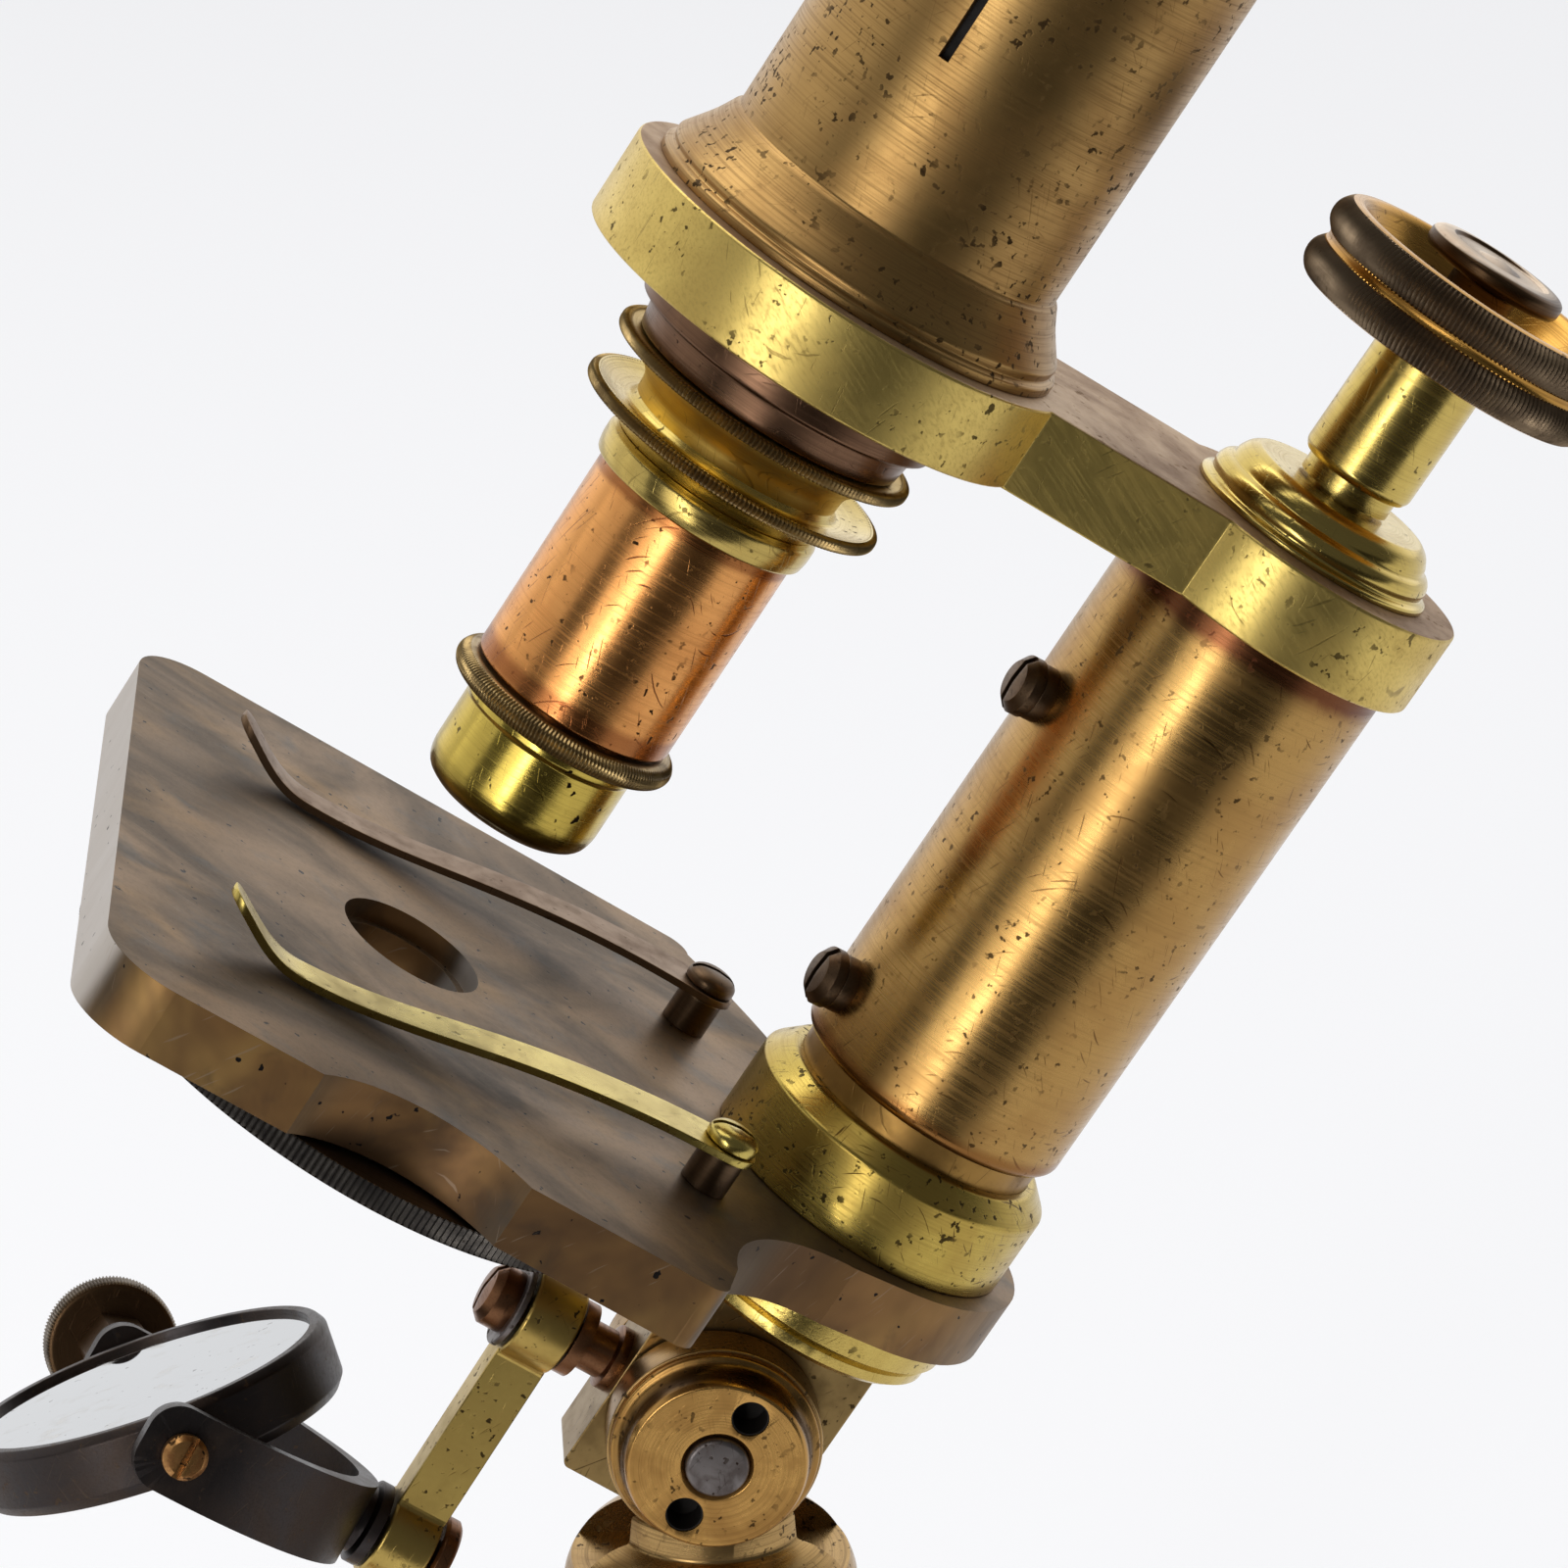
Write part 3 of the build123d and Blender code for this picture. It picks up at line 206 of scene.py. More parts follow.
def cut(piece, tools, bevel=0.08):
    """Cuts each (mesh, matrix) out of the piece for good, then breaks the new edges."""
    for mesh, matrix in tools:
        tool = bpy.data.objects.new("tool", mesh)
        bpy.context.scene.collection.objects.link(tool)
        tool.matrix_world = matrix
        difference = piece.modifiers.new("cut", "BOOLEAN")
        difference.operation = "DIFFERENCE"
        difference.solver = "EXACT"
        difference.object = tool
        bpy.context.view_layer.update()
        graph = bpy.context.evaluated_depsgraph_get()
        result = bpy.data.meshes.new_from_object(piece.evaluated_get(graph))
        piece.modifiers.clear()
        piece.data = result
        bpy.data.objects.remove(tool)
    shade(piece.data)
    edges = piece.modifiers.new("edges", "BEVEL")
    edges.width = bevel * MM
    edges.segments = 2
    edges.limit_method = "ANGLE"
    edges.angle_limit = math.radians(38)
    edges.use_clamp_overlap = True
    return weighted(piece)


def dressed(node, material, bevel=0.25):
    """A CAD node kept in view: welded, its edges broken, with a real material."""
    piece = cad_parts[node]
    piece.data.materials.clear()
    piece.data.materials.append(material)
    weld = piece.modifiers.new("weld", "WELD")
    weld.merge_threshold = 0.0000005
    if bevel:
        edges = piece.modifiers.new("edges", "BEVEL")
        edges.width = bevel * MM
        edges.segments = 3
        edges.limit_method = "ANGLE"
        edges.angle_limit = math.radians(32)
        edges.use_clamp_overlap = True
    weighted(piece)
    return piece


# ---------------------------------------------------------------- materials

def tone(red, green, blue):
    """Linear colour from a display colour out of 255."""
    out = []
    for value in (red, green, blue):
        v = value / 255
        out.append(v / 12.92 if v <= 0.04045 else ((v + 0.055) / 1.055) ** 2.4)
    return (*out, 1.0)


ROUND_STRETCH = 60.0               # how slowly lathe marks change round the axis


class Paint:
    """Small helper round one material's node tree."""

    def __init__(self, name):
        self.material = bpy.data.materials.new(name)
        self.material.use_nodes = True
        self.tree = self.material.node_tree
        self.shader = self.tree.nodes["Principled BSDF"]
        self.coord = self.tree.nodes.new("ShaderNodeTexCoord").outputs["Object"]

    def feed(self, socket, value):
        if isinstance(value, bpy.types.NodeSocket):
            self.tree.links.new(value, socket)
        else:
            socket.default_value = value

    def math(self, kind, a, b=0.0):
        node = self.tree.nodes.new("ShaderNodeMath")
        node.operation = kind
        self.feed(node.inputs[0], a)
        self.feed(node.inputs[1], b)
        return node.outputs[0]

    def stretch(self, scale, shift=(0, 0, 0)):
        node = self.tree.nodes.new("ShaderNodeMapping")
        node.vector_type = "POINT"
        node.inputs["Location"].default_value = shift
        node.inputs["Scale"].default_value = scale
        self.feed(node.inputs["Vector"], self.coord)
        return node.outputs[0]

    def turned_first(self, scale, turn):
        """Turns the coordinates and then stretches them, so that a scratch runs at a slant."""
        node = self.tree.nodes.new("ShaderNodeMapping")
        node.vector_type = "POINT"
        node.inputs["Rotation"].default_value = [math.radians(a) for a in turn]
        self.feed(node.inputs["Vector"], self.coord)
        after = self.tree.nodes.new("ShaderNodeVectorMath")
        after.operation = "MULTIPLY"
        self.feed(after.inputs[0], node.outputs[0])
        after.inputs[1].default_value = scale
        return after.outputs[0]

    def lathed(self, fine):
        """Coordinates that vary quickly with radius and height and slowly round the axis: lathe marks."""
        split = self.tree.nodes.new("ShaderNodeSeparateXYZ")
        self.feed(split.inputs[0], self.coord)
        x, y, z = split.outputs
        square = self.math("ADD", self.math("MULTIPLY", x, x), self.math("MULTIPLY", y, y))
        join = self.tree.nodes.new("ShaderNodeCombineXYZ")
        self.feed(join.inputs[0], self.math("MULTIPLY", self.math("SQRT", square), fine))
        self.feed(join.inputs[1], self.math("MULTIPLY", z, fine))
        self.feed(join.inputs[2], self.math("MULTIPLY", self.math("ADD", x, y), ROUND_STRETCH))
        return join.outputs[0]

    def noise(self, vector, detail=3.0, roughness=0.55, distortion=0.0):
        node = self.tree.nodes.new("ShaderNodeTexNoise")
        node.inputs["Scale"].default_value = 1.0
        node.inputs["Detail"].default_value = detail
        node.inputs["Roughness"].default_value = roughness
        node.inputs["Distortion"].default_value = distortion
        self.feed(node.inputs["Vector"], vector)
        return node.outputs["Fac"]

    def ramp(self, value, low, high, start=0.0, end=1.0):
        node = self.tree.nodes.new("ShaderNodeMapRange")
        node.interpolation_type = "SMOOTHSTEP"
        self.feed(node.inputs["Value"], value)
        for socket, number in zip(("From Min", "From Max", "To Min", "To Max"), (low, high, start, end)):
            node.inputs[socket].default_value = number
        return node.outputs["Result"]

    def mix(self, factor, a, b):
        node = self.tree.nodes.new("ShaderNodeMix")
        node.data_type = "RGBA"
        node.blend_type = "MIX"
        self.feed(node.inputs["Factor"], factor)
        self.feed(node.inputs[6], a)
        self.feed(node.inputs[7], b)
        return node.outputs[2]

    def height(self):
        """Distance along the piece's own axis, in metres."""
        node = self.tree.nodes.new("ShaderNodeSeparateXYZ")
        self.feed(node.inputs[0], self.coord)
        return node.outputs["Z"]

    def facing(self, direction, low, high):
        """How far the surface faces a direction given in the piece's own axes."""
        node = self.tree.nodes.new("ShaderNodeVectorMath")
        node.operation = "DOT_PRODUCT"
        self.feed(node.inputs[0], self.coord.node.outputs["Normal"])
        node.inputs[1].default_value = direction
        return self.ramp(node.outputs["Value"], low, high)

    def bump(self, value, strength, depth=0.00004):
        node = self.tree.nodes.new("ShaderNodeBump")
        node.inputs["Strength"].default_value = strength
        node.inputs["Distance"].default_value = depth
        self.feed(node.inputs["Height"], value)
        self.feed(self.shader.inputs["Normal"], node.outputs[0])


PATCH_RATIO = 1.7                  # patches of pits against the clouds of the finish
SPECK_EDGE = 0.05
SCRATCH_STRETCH = 9000
GRAINS = {
    "along": (4200, 4200, 160),
    "round": (350, 350, 350),
}


def metal(name, base, aged, rough=0.24, metallic=1.0, grain="turned", streak=0.35, streak_tone=0.45,
          cloud=0.35, cloud_scale=110, specks=0.5, speck_scale=1300, speck_level=0.66,
          scratch=0.5, scratch_tone=None, dirt=None, bands=(), bump=0.35, turn=(0, 0, 0), top=None):
    """Aged metal: base and aged colours in clouds, machining streaks, pits and scratches, with optional rings
    of painted shade along the axis and an optional top-face colour that is partly satin, partly a painted
    sheen.
    """
    dirt = dirt or tone(38, 27, 18)
    paint = Paint(name)
    clouds = paint.noise(paint.stretch((cloud_scale,) * 3), 4.0, 0.6, 0.4)
    worn = paint.ramp(clouds, 0.38, 0.68, 0.0, cloud)
    colour = paint.mix(worn, base, aged)
    if grain == "turned":
        lines = paint.noise(paint.lathed(6000.0), 5.0, 0.62)
    else:
        lines = paint.noise(paint.turned_first(GRAINS[grain], turn), 5.0, 0.62)
    lined = paint.ramp(lines, 0.42, 0.72)
    darker = [c * streak_tone for c in aged[:3]] + [1.0]
    colour = paint.mix(paint.math("MULTIPLY", lined, streak), colour, darker)
    uneven = paint.noise(paint.stretch((cloud_scale * PATCH_RATIO,) * 3, shift=(3, 7, 1)), 2.0)
    patches = paint.ramp(uneven, 0.35, 0.62)
    grains = paint.noise(paint.stretch((speck_scale,) * 3), 2.0, 0.5)
    dots = paint.ramp(grains, speck_level, speck_level + SPECK_EDGE)
    pits = paint.math("MULTIPLY", paint.math("MULTIPLY", dots, patches), specks)
    colour = paint.mix(pits, colour, dirt)
    slant = paint.noise(paint.turned_first((260, SCRATCH_STRETCH, 260), (25, 40, 10)), 1.0, 0.4)
    other = paint.noise(paint.turned_first((SCRATCH_STRETCH, 240, 300), (-35, 15, 50)), 1.0, 0.4)
    marks = paint.math("MAXIMUM", paint.ramp(slant, 0.70, 0.76), paint.ramp(other, 0.71, 0.77))
    marks = paint.math("MULTIPLY", marks, scratch)
    colour = paint.mix(marks, colour, scratch_tone or darker)
    flat = 0.0
    # Faces turned towards top[0] take their own colour and roughness: partly a satin finish, partly a painted
    # sheen of reflected backdrop.
    if top:
        flat = paint.facing(top[0], 0.75, 0.92)
        satin_and_sheen = paint.mix(paint.ramp(clouds, 0.36, 0.66), top[1], top[2])
        satin_and_sheen = paint.mix(paint.math("MULTIPLY", marks, 0.6), satin_and_sheen, [c * 0.5 for c in top[2][:3]] + [1.0])
        colour = paint.mix(flat, colour, satin_and_sheen)
    # Painted shade: each band darkens a ragged ring at its height along the axis.
    for at, width, shade_of, strength in bands:
        away = paint.math("ABSOLUTE", paint.math("SUBTRACT", paint.height(), at * MM))
        wander = paint.math("MULTIPLY", paint.math("SUBTRACT", clouds, 0.5), width * MM)
        ragged = paint.math("ADD", away, wander)
        edge = paint.ramp(ragged, 0.35 * width * MM, width * MM, strength, 0.0)
        colour = paint.mix(edge, colour, shade_of)
    paint.feed(paint.shader.inputs["Base Color"], colour)
    paint.shader.inputs["Metallic"].default_value = metallic
    gloss = paint.math("ADD", paint.math("MULTIPLY", lined, 0.10), paint.math("MULTIPLY", worn, 0.22))
    gloss = paint.math("ADD", gloss, paint.math("MULTIPLY", pits, 0.35))
    gloss = paint.math("ADD", gloss, rough)
    if top:
        gloss = paint.math("ADD", gloss, paint.math("MULTIPLY", flat, top[3]))
    paint.feed(paint.shader.inputs["Roughness"], gloss)
    relief = paint.math("SUBTRACT", paint.math("MULTIPLY", lines, 0.5), paint.math("ADD", pits, marks))
    paint.bump(relief, bump)
    return paint.material


GOLD = tone(186, 142, 66)
GOLD_AGED = tone(150, 96, 44)
YELLOW = tone(200, 176, 98)
YELLOW_AGED = tone(156, 126, 62)

sleeve_lacquer = metal("sleeve_lacquer", tone(166, 132, 80), tone(136, 98, 56), rough=0.33, streak=0.42,
                       streak_tone=0.42, specks=0.85, speck_level=0.60, scratch=0.35, bump=0.22)
eye_lacquer = metal("eye_lacquer", tone(166, 132, 80), tone(136, 98, 56), rough=0.3, grain="round",
                    streak=0.3)
# Its two bands are painted shade at the column's ends: under the sleeve and just above the socket.
column_lacquer = metal("column_lacquer", tone(170, 134, 78), tone(142, 102, 56), rough=0.22, streak=0.12,
                       specks=0.75, speck_level=0.63, scratch=0.85, bump=0.16,
                       bands=((62.2, 2.6, tone(96, 52, 34), 0.9), (12.0, 1.6, tone(120, 74, 34), 0.7)))
bright_brass = metal("bright_brass", YELLOW, YELLOW_AGED, rough=0.17, streak=0.16, specks=0.7,
                     speck_level=0.66, scratch=0.4)
# A near-black sheet for inside the sleeve: painted shade that keeps the slit dark.
slit_shade_sheet = metal("slit_shade_sheet", tone(24, 19, 15), tone(14, 11, 9), rough=0.7, metallic=0.0,
                     grain="round", streak=0.4, specks=0.4)
# Its bands are painted shade on the snout's rounded front edge.
snout_brass = metal("snout_brass", tone(192, 168, 80), tone(160, 134, 58), rough=0.16, streak=0.14,
                    specks=1.0, speck_scale=1000, speck_level=0.66, scratch=0.5,
                    bands=((14.9, 1.0, tone(52, 38, 22), 0.95), (16.0, 1.8, tone(96, 78, 30), 0.5)))
socket_brass = metal("socket_brass", tone(184, 160, 80), tone(140, 104, 48), rough=0.24, streak=0.18,
                     specks=0.9, speck_level=0.61, scratch=0.95, scratch_tone=tone(96, 74, 36))
flare_brass = metal("flare_brass", tone(214, 184, 96), tone(182, 144, 72), rough=0.34, streak=0.2)
# The arm's top faces take a satin beige that is partly a painted reflection of the pale backdrop.
arm_satin = metal("arm_satin", tone(208, 182, 104), tone(178, 150, 82), rough=0.33, grain="along",
                  turn=(0, 32.5, 0), streak=0.25, cloud=0.5, cloud_scale=90, specks=0.8, speck_level=0.63,
                  scratch=0.6, bump=0.25, top=(AXIAL, tone(176, 150, 120), tone(138, 110, 84), 0.16))
# Its bands are painted shade on the barrel, just above the correction ring and just under the collar.
copper = metal("barrel_copper", tone(214, 152, 88), tone(188, 120, 64), rough=0.19, streak=0.14,
               specks=0.95, speck_level=0.645, scratch=0.9, scratch_tone=tone(94, 48, 26),
               bands=((27.2, 1.6, tone(128, 72, 40), 0.75), (45.6, 1.0, tone(120, 66, 34), 0.7)))
collar_brass = metal("collar_brass", tone(190, 166, 94), tone(150, 122, 62), rough=0.18, streak=0.2,
                     specks=0.6)
# Its band is a painted dark reflection on the side of the nut.
nut_brass = metal("nut_brass", tone(196, 152, 86), tone(150, 108, 58), rough=0.22, streak=0.45, specks=0.8,
                  speck_level=0.63, cloud=0.6, cloud_scale=160,
                  bands=((10.3, 1.7, tone(58, 42, 26), 0.85),))
crank_brass = metal("crank_brass", tone(184, 158, 88), tone(148, 120, 64), rough=0.26, grain="round",
                    streak=0.2, specks=0.9, speck_level=0.63, scratch=0.6)
# Near-black linings for the spanner holes: painted shade in the recesses.
hole_shade_lining = metal("hole_shade_lining", tone(26, 20, 15), tone(14, 11, 9), rough=0.6, metallic=0.2, streak=0.3,
                  specks=0.3)
nose_brown = metal("nose_brown", tone(110, 82, 62), tone(84, 60, 46), rough=0.26, streak=0.35, specks=0.7)
milled_dark = metal("milled_dark", tone(104, 88, 66), tone(62, 50, 40), rough=0.34, streak=0.1, cloud=0.8,
                    cloud_scale=260, specks=0.5, scratch=0.1, bump=0.2)
milled_black = metal("milled_black", tone(74, 70, 66), tone(46, 43, 42), rough=0.36, streak=0.1, cloud=0.8,
                     cloud_scale=260, specks=0.5, scratch=0.1, bump=0.2)
milled_knob = metal("milled_knob", tone(132, 114, 92), tone(88, 74, 60), rough=0.38, streak=0.1, cloud=0.8,
                    cloud_scale=220, specks=0.4, scratch=0.1, bump=0.2)
bead_brass = metal("bead_brass", tone(160, 136, 92), tone(96, 78, 52), rough=0.3, streak=0.1, cloud=0.8,
                   cloud_scale=300, specks=0.4, scratch=0.1, bump=0.2)
bronze = metal("dark_bronze", tone(98, 78, 58), tone(66, 52, 42), rough=0.33, grain="turned", streak=0.3)
# Its near-white top colour is a painted reflection on the top faces of the knobs.
button_bronze = metal("button_bronze", tone(92, 70, 48), tone(60, 44, 32), rough=0.3, streak=0.45,
                      top=(AXIAL, tone(240, 226, 208), tone(214, 194, 172), 0.2))
bowl_brass = metal("bowl_brass", tone(190, 144, 70), tone(150, 104, 50), rough=0.24, streak=0.5, specks=0.6)
fork_copper = metal("fork_copper", tone(180, 134, 82), tone(112, 74, 44), rough=0.28, streak=0.3, cloud=0.8,
                    cloud_scale=700, specks=1.0, speck_level=0.6)
screw_red = metal("screw_copper", tone(126, 88, 60), tone(84, 56, 40), rough=0.26, streak=0.3, specks=0.8)
steel = metal("worn_steel", tone(116, 110, 108), tone(82, 72, 68), rough=0.34, grain="round", streak=0.2,
              cloud=0.7, cloud_scale=400, specks=1.0, speck_level=0.60, dirt=tone(58, 46, 38))
blackened = metal("blackened_brass", tone(58, 54, 54), tone(76, 62, 52), rough=0.36, streak=0.2, cloud=0.5,
                  cloud_scale=140, specks=0.5, dirt=tone(96, 76, 54), scratch=0.25,
                  scratch_tone=tone(96, 80, 62))
clip_brass = metal("clip_brass", tone(196, 176, 96), tone(150, 124, 66), rough=0.22, grain="round",
                   streak=0.2, specks=0.5)
# A darker copy of the clip brass for the far clip: painted shade.
clip_brass_shaded = metal("clip_brass_shaded", tone(128, 104, 80), tone(96, 72, 54), rough=0.36, grain="round",
                   streak=0.3, cloud=0.6, specks=0.4)
block_brass = metal("block_brass", tone(140, 116, 74), tone(104, 80, 50), rough=0.28, grain="round",
                    streak=0.3, specks=0.8, scratch=0.8)
hidden_brass = metal("inner_brass", tone(150, 116, 62), tone(110, 78, 42), rough=0.32, grain="round")


def stage_patina():
    """Bronzed plate with brown, grey and bluish oil-worn patches, fine brushing and pits."""
    paint = Paint("stage_patina")
    big = paint.noise(paint.stretch((38, 60, 38)), 4.0, 0.6, 0.8)
    small = paint.noise(paint.stretch((160, 210, 160), shift=(4, 1, 9)), 4.0, 0.6, 0.5)
    colour = paint.mix(paint.ramp(big, 0.36, 0.62), tone(126, 101, 72), tone(86, 71, 54))
    colour = paint.mix(paint.ramp(small, 0.50, 0.74, 0.0, 0.5), colour, tone(78, 78, 76))
    warm = paint.noise(paint.stretch((55, 85, 55), shift=(9, 2, 5)), 3.0, 0.6, 0.6)
    colour = paint.mix(paint.ramp(warm, 0.52, 0.75, 0.0, 0.6), colour, tone(142, 112, 72))
    brushed = paint.noise(paint.turned_first((60, 2600, 2600), (0, 57.5, 0)), 4.0, 0.65)
    colour = paint.mix(paint.ramp(brushed, 0.45, 0.75, 0.0, 0.22), colour, tone(52, 44, 38))
    # The near side is brown; its gold patches are painted highlights.
    brown = paint.mix(paint.ramp(big, 0.36, 0.64), tone(128, 95, 58), tone(88, 65, 43))
    brown = paint.mix(paint.ramp(warm, 0.48, 0.74, 0.0, 0.7), brown, tone(170, 136, 80))
    brown = paint.mix(paint.ramp(small, 0.56, 0.76, 0.0, 0.55), brown, tone(70, 56, 44))
    colour = paint.mix(paint.facing(NEAR, 0.7, 0.9), colour, brown)
    # The front side takes a pale grey: a painted reflection.
    colour = paint.mix(paint.facing(FRONT, 0.7, 0.9), colour, tone(176, 168, 160))
    dots = paint.ramp(paint.noise(paint.stretch((900, 900, 900)), 2.0), 0.70, 0.73)
    colour = paint.mix(dots, colour, tone(24, 20, 18))
    slant = paint.noise(paint.turned_first((260, SCRATCH_STRETCH, 260), (25, 40, 10)), 1.0, 0.4)
    slant = paint.ramp(slant, 0.70, 0.76)
    colour = paint.mix(paint.math("MULTIPLY", slant, 0.35), colour, tone(150, 134, 116))
    paint.feed(paint.shader.inputs["Base Color"], colour)
    paint.shader.inputs["Metallic"].default_value = 0.85
    gloss = paint.math("ADD", paint.ramp(big, 0.3, 0.7, 0.36, 0.5), paint.math("MULTIPLY", brushed, 0.08))
    paint.feed(paint.shader.inputs["Roughness"], gloss)
    relief = paint.math("SUBTRACT", paint.math("MULTIPLY", brushed, 0.6), dots)
    paint.bump(relief, 0.25)
    return paint.material


def silver_glass():
    """Silvered glass with faint dust and a few fogged spots."""
    paint = Paint("silver_glass")
    fog = paint.ramp(paint.noise(paint.stretch((300, 300, 300)), 3.0), 0.55, 0.8)
    spots = paint.ramp(paint.noise(paint.stretch((1100, 1100, 1100)), 2.0), 0.70, 0.74)
    colour = paint.mix(fog, tone(232, 234, 234), tone(206, 204, 198))
    colour = paint.mix(paint.math("MULTIPLY", spots, 0.6), colour, tone(90, 84, 76))
    paint.feed(paint.shader.inputs["Base Color"], colour)
    paint.shader.inputs["Metallic"].default_value = 1.0
    paint.feed(paint.shader.inputs["Roughness"], paint.math("ADD", paint.math("MULTIPLY", fog, 0.12), 0.03))
    return paint.material


def clear_glass():
    """Coated lens glass, a little dusty."""
    paint = Paint("lens_glass")
    dust = paint.ramp(paint.noise(paint.stretch((1500, 1500, 1500)), 2.0), 0.62, 0.8)
    paint.feed(paint.shader.inputs["Base Color"], paint.mix(dust, tone(225, 232, 232), tone(190, 188, 180)))
    paint.feed(paint.shader.inputs["Roughness"], paint.math("ADD", paint.math("MULTIPLY", dust, 0.2), 0.02))
    paint.shader.inputs["IOR"].default_value = 1.52
    paint.shader.inputs["Transmission Weight"].default_value = 1.0
    return paint.material


patina = stage_patina()
mirror_silver = silver_glass()
lens_glass = clear_glass()


# ---------------------------------------------------------------- stand

dressed("foot", metal("foot_lacquer", GOLD, GOLD_AGED, rough=0.3, grain="round", streak=0.2, specks=0.7), 0.6)
turned("plinth", "stand", [
    (0, 12.0), (16.1, 12.0, 0.3), (16.5, 12.6, 0.3), (16.5, 14.4, 0.5), (15.9, 15.0, 0.3), (0, 15.0),
], place(Vector((0, 0, 0)), UPRIGHT, Vector((1, 0, 0))), bright_brass, ["pillar_plinth"])
pillar_lacquer = metal("pillar_lacquer", tone(172, 140, 90), tone(126, 94, 58), rough=0.24, streak=0.5,
                       specks=0.8, speck_level=0.62)
HINGE_AXIS = place(HINGE, NEAR, AXIAL)
HINGE_AXIS_FAR = place(HINGE, -NEAR, AXIAL)
CHEEK_IN = 4.4                     # half the gap of the pillar's fork
CHEEK_OUT = 8.3
CHEEK_R = 9.45
FORK_FLOOR = 83.4
RUNNING = 0.02                     # clearance of a pin in its bore
NUT_OUT = 12.0
PIN_R = 2.8
PIN_END = 12.4
SPANNER_AT = 5.35
SPANNER_R = 1.65
SPANNER_DEEP = 3.2
WELL_R = 1.62                      # radius of the near-black lining of a spanner hole: painted shade
PILLAR_AXIS = place(Vector((0, 0, 0)), UPRIGHT, Vector((1, 0, 0)))
pillar = turned("pillar_turned", "stand", [
    (0, 15.0), (14.0, 15.0, 0.2), (14.6, 16.2, 0.4), (14.0, 17.6, 0.4), (12.4, 18.2, 0.2),
    (12.0, 20.0, 1.0), (10.5, 23.5, 2.0), (8.2, 64.0, 2.0), (9.2, 69.0, 1.5), (10.8, 73.6, 0.8),
    (12.0, 75.6, 0.4), (12.0, 77.2, 0.2), (11.4, 77.4, 0.1), (11.4, 78.6, 0.1), (12.3, 79.0, 0.3),
    (13.1, 80.4, 0.8), (13.1, 81.6, 1.2), (12.6, 83.2, 1.0), (11.4, 85.0, 1.0), (9.9, 86.2, 0.8),
    (8.6, 86.8, 0.3), (8.4, 89.5, 0.3), (0, 89.5),
], PILLAR_AXIS, pillar_lacquer, ["pillar"], steps=200)
pocket = [(0, CHEEK_OUT), (9.4, CHEEK_OUT), (9.4, 20.0), (0, 20.0)]
cut(pillar, [
    (block_mesh("fork_slot", (-20, 20), (-CHEEK_IN, CHEEK_IN), (FORK_FLOOR, 120)), PILLAR_AXIS),
    (turned_mesh("pocket", pocket, 96), HINGE_AXIS), (turned_mesh("pocket", pocket, 96), HINGE_AXIS_FAR),
], 0.12)
for side, matrix in (("near", HINGE_AXIS), ("far", HINGE_AXIS_FAR)):
    turned("cheek_" + side, "stand", [
        (PIN_R + RUNNING, CHEEK_IN), (CHEEK_R, CHEEK_IN, 0.2), (CHEEK_R, CHEEK_OUT, 0.2),
        (PIN_R + RUNNING, CHEEK_OUT),
    ], matrix, pillar_lacquer, steps=120)
turned("pin", "stand", [
    (0, -PIN_END), (PIN_R, -PIN_END, 0.5), (PIN_R, PIN_END, 0.5), (0, PIN_END)
], HINGE_AXIS, steel, ["hinge_pin"], steps=64)
for side, matrix in (("near", HINGE_AXIS), ("far", HINGE_AXIS_FAR)):
    nut = turned("nut_" + side, "stand", [
        (PIN_R + RUNNING, CHEEK_OUT), (9.15, CHEEK_OUT, 0.15), (9.15, CHEEK_OUT + 0.6, 0.2),
        (8.5, CHEEK_OUT + 0.9, 0.3), (8.1, CHEEK_OUT + 1.6, 0.4), (8.0, NUT_OUT - 0.5, 0.2),
        (7.7, NUT_OUT, 0.2), (PIN_R + 0.4, NUT_OUT, 0.1), (PIN_R + RUNNING, NUT_OUT - 0.4),
    ], matrix, nut_brass, ["hinge_nut_" + side])
    floor = NUT_OUT - SPANNER_DEEP
    drill = [(0, floor), (SPANNER_R, floor), (SPANNER_R, NUT_OUT + 1), (0, NUT_OUT + 1)]
    # Each spanner hole gets a thin near-black lining: painted shade in the recess.
    well = [(0, floor + 0.02), (WELL_R, floor + 0.02), (WELL_R, NUT_OUT - 0.2), (1.52, NUT_OUT - 0.2, 0.04),
            (1.5, floor + 0.2), (0, floor + 0.2)]
    tools = []
    for way in (1, -1):
        spot = matrix @ Matrix.Translation((way * SPANNER_AT * MM, 0, 0))
        tools.append((turned_mesh("drill", drill, 40), spot))
        turned("well_%s_%d" % (side, way + 2), "stand", well, spot, hole_shade_lining, steps=40)
    cut(nut, tools, 0.12)

# ---------------------------------------------------------------- limb and stage

dressed("limb_block", block_brass, 0.18)
dressed("lower_ring", bright_brass, 0.15)
dressed("stage", patina, 0.3)
dressed("column_core", hidden_brass, 0.1)
turned("socket", "limb", [
    (11.6, 0.02), (14.3, 0.02, 0.2), (14.3, 7.3, 0.3), (12.4, 9.2, 0.5), (11.62, 9.2),
], COLUMN, socket_brass, ["column_socket"], steps=200)

CLIP_P = 17.2
POST_T = 3.5
SEAT = 4.3
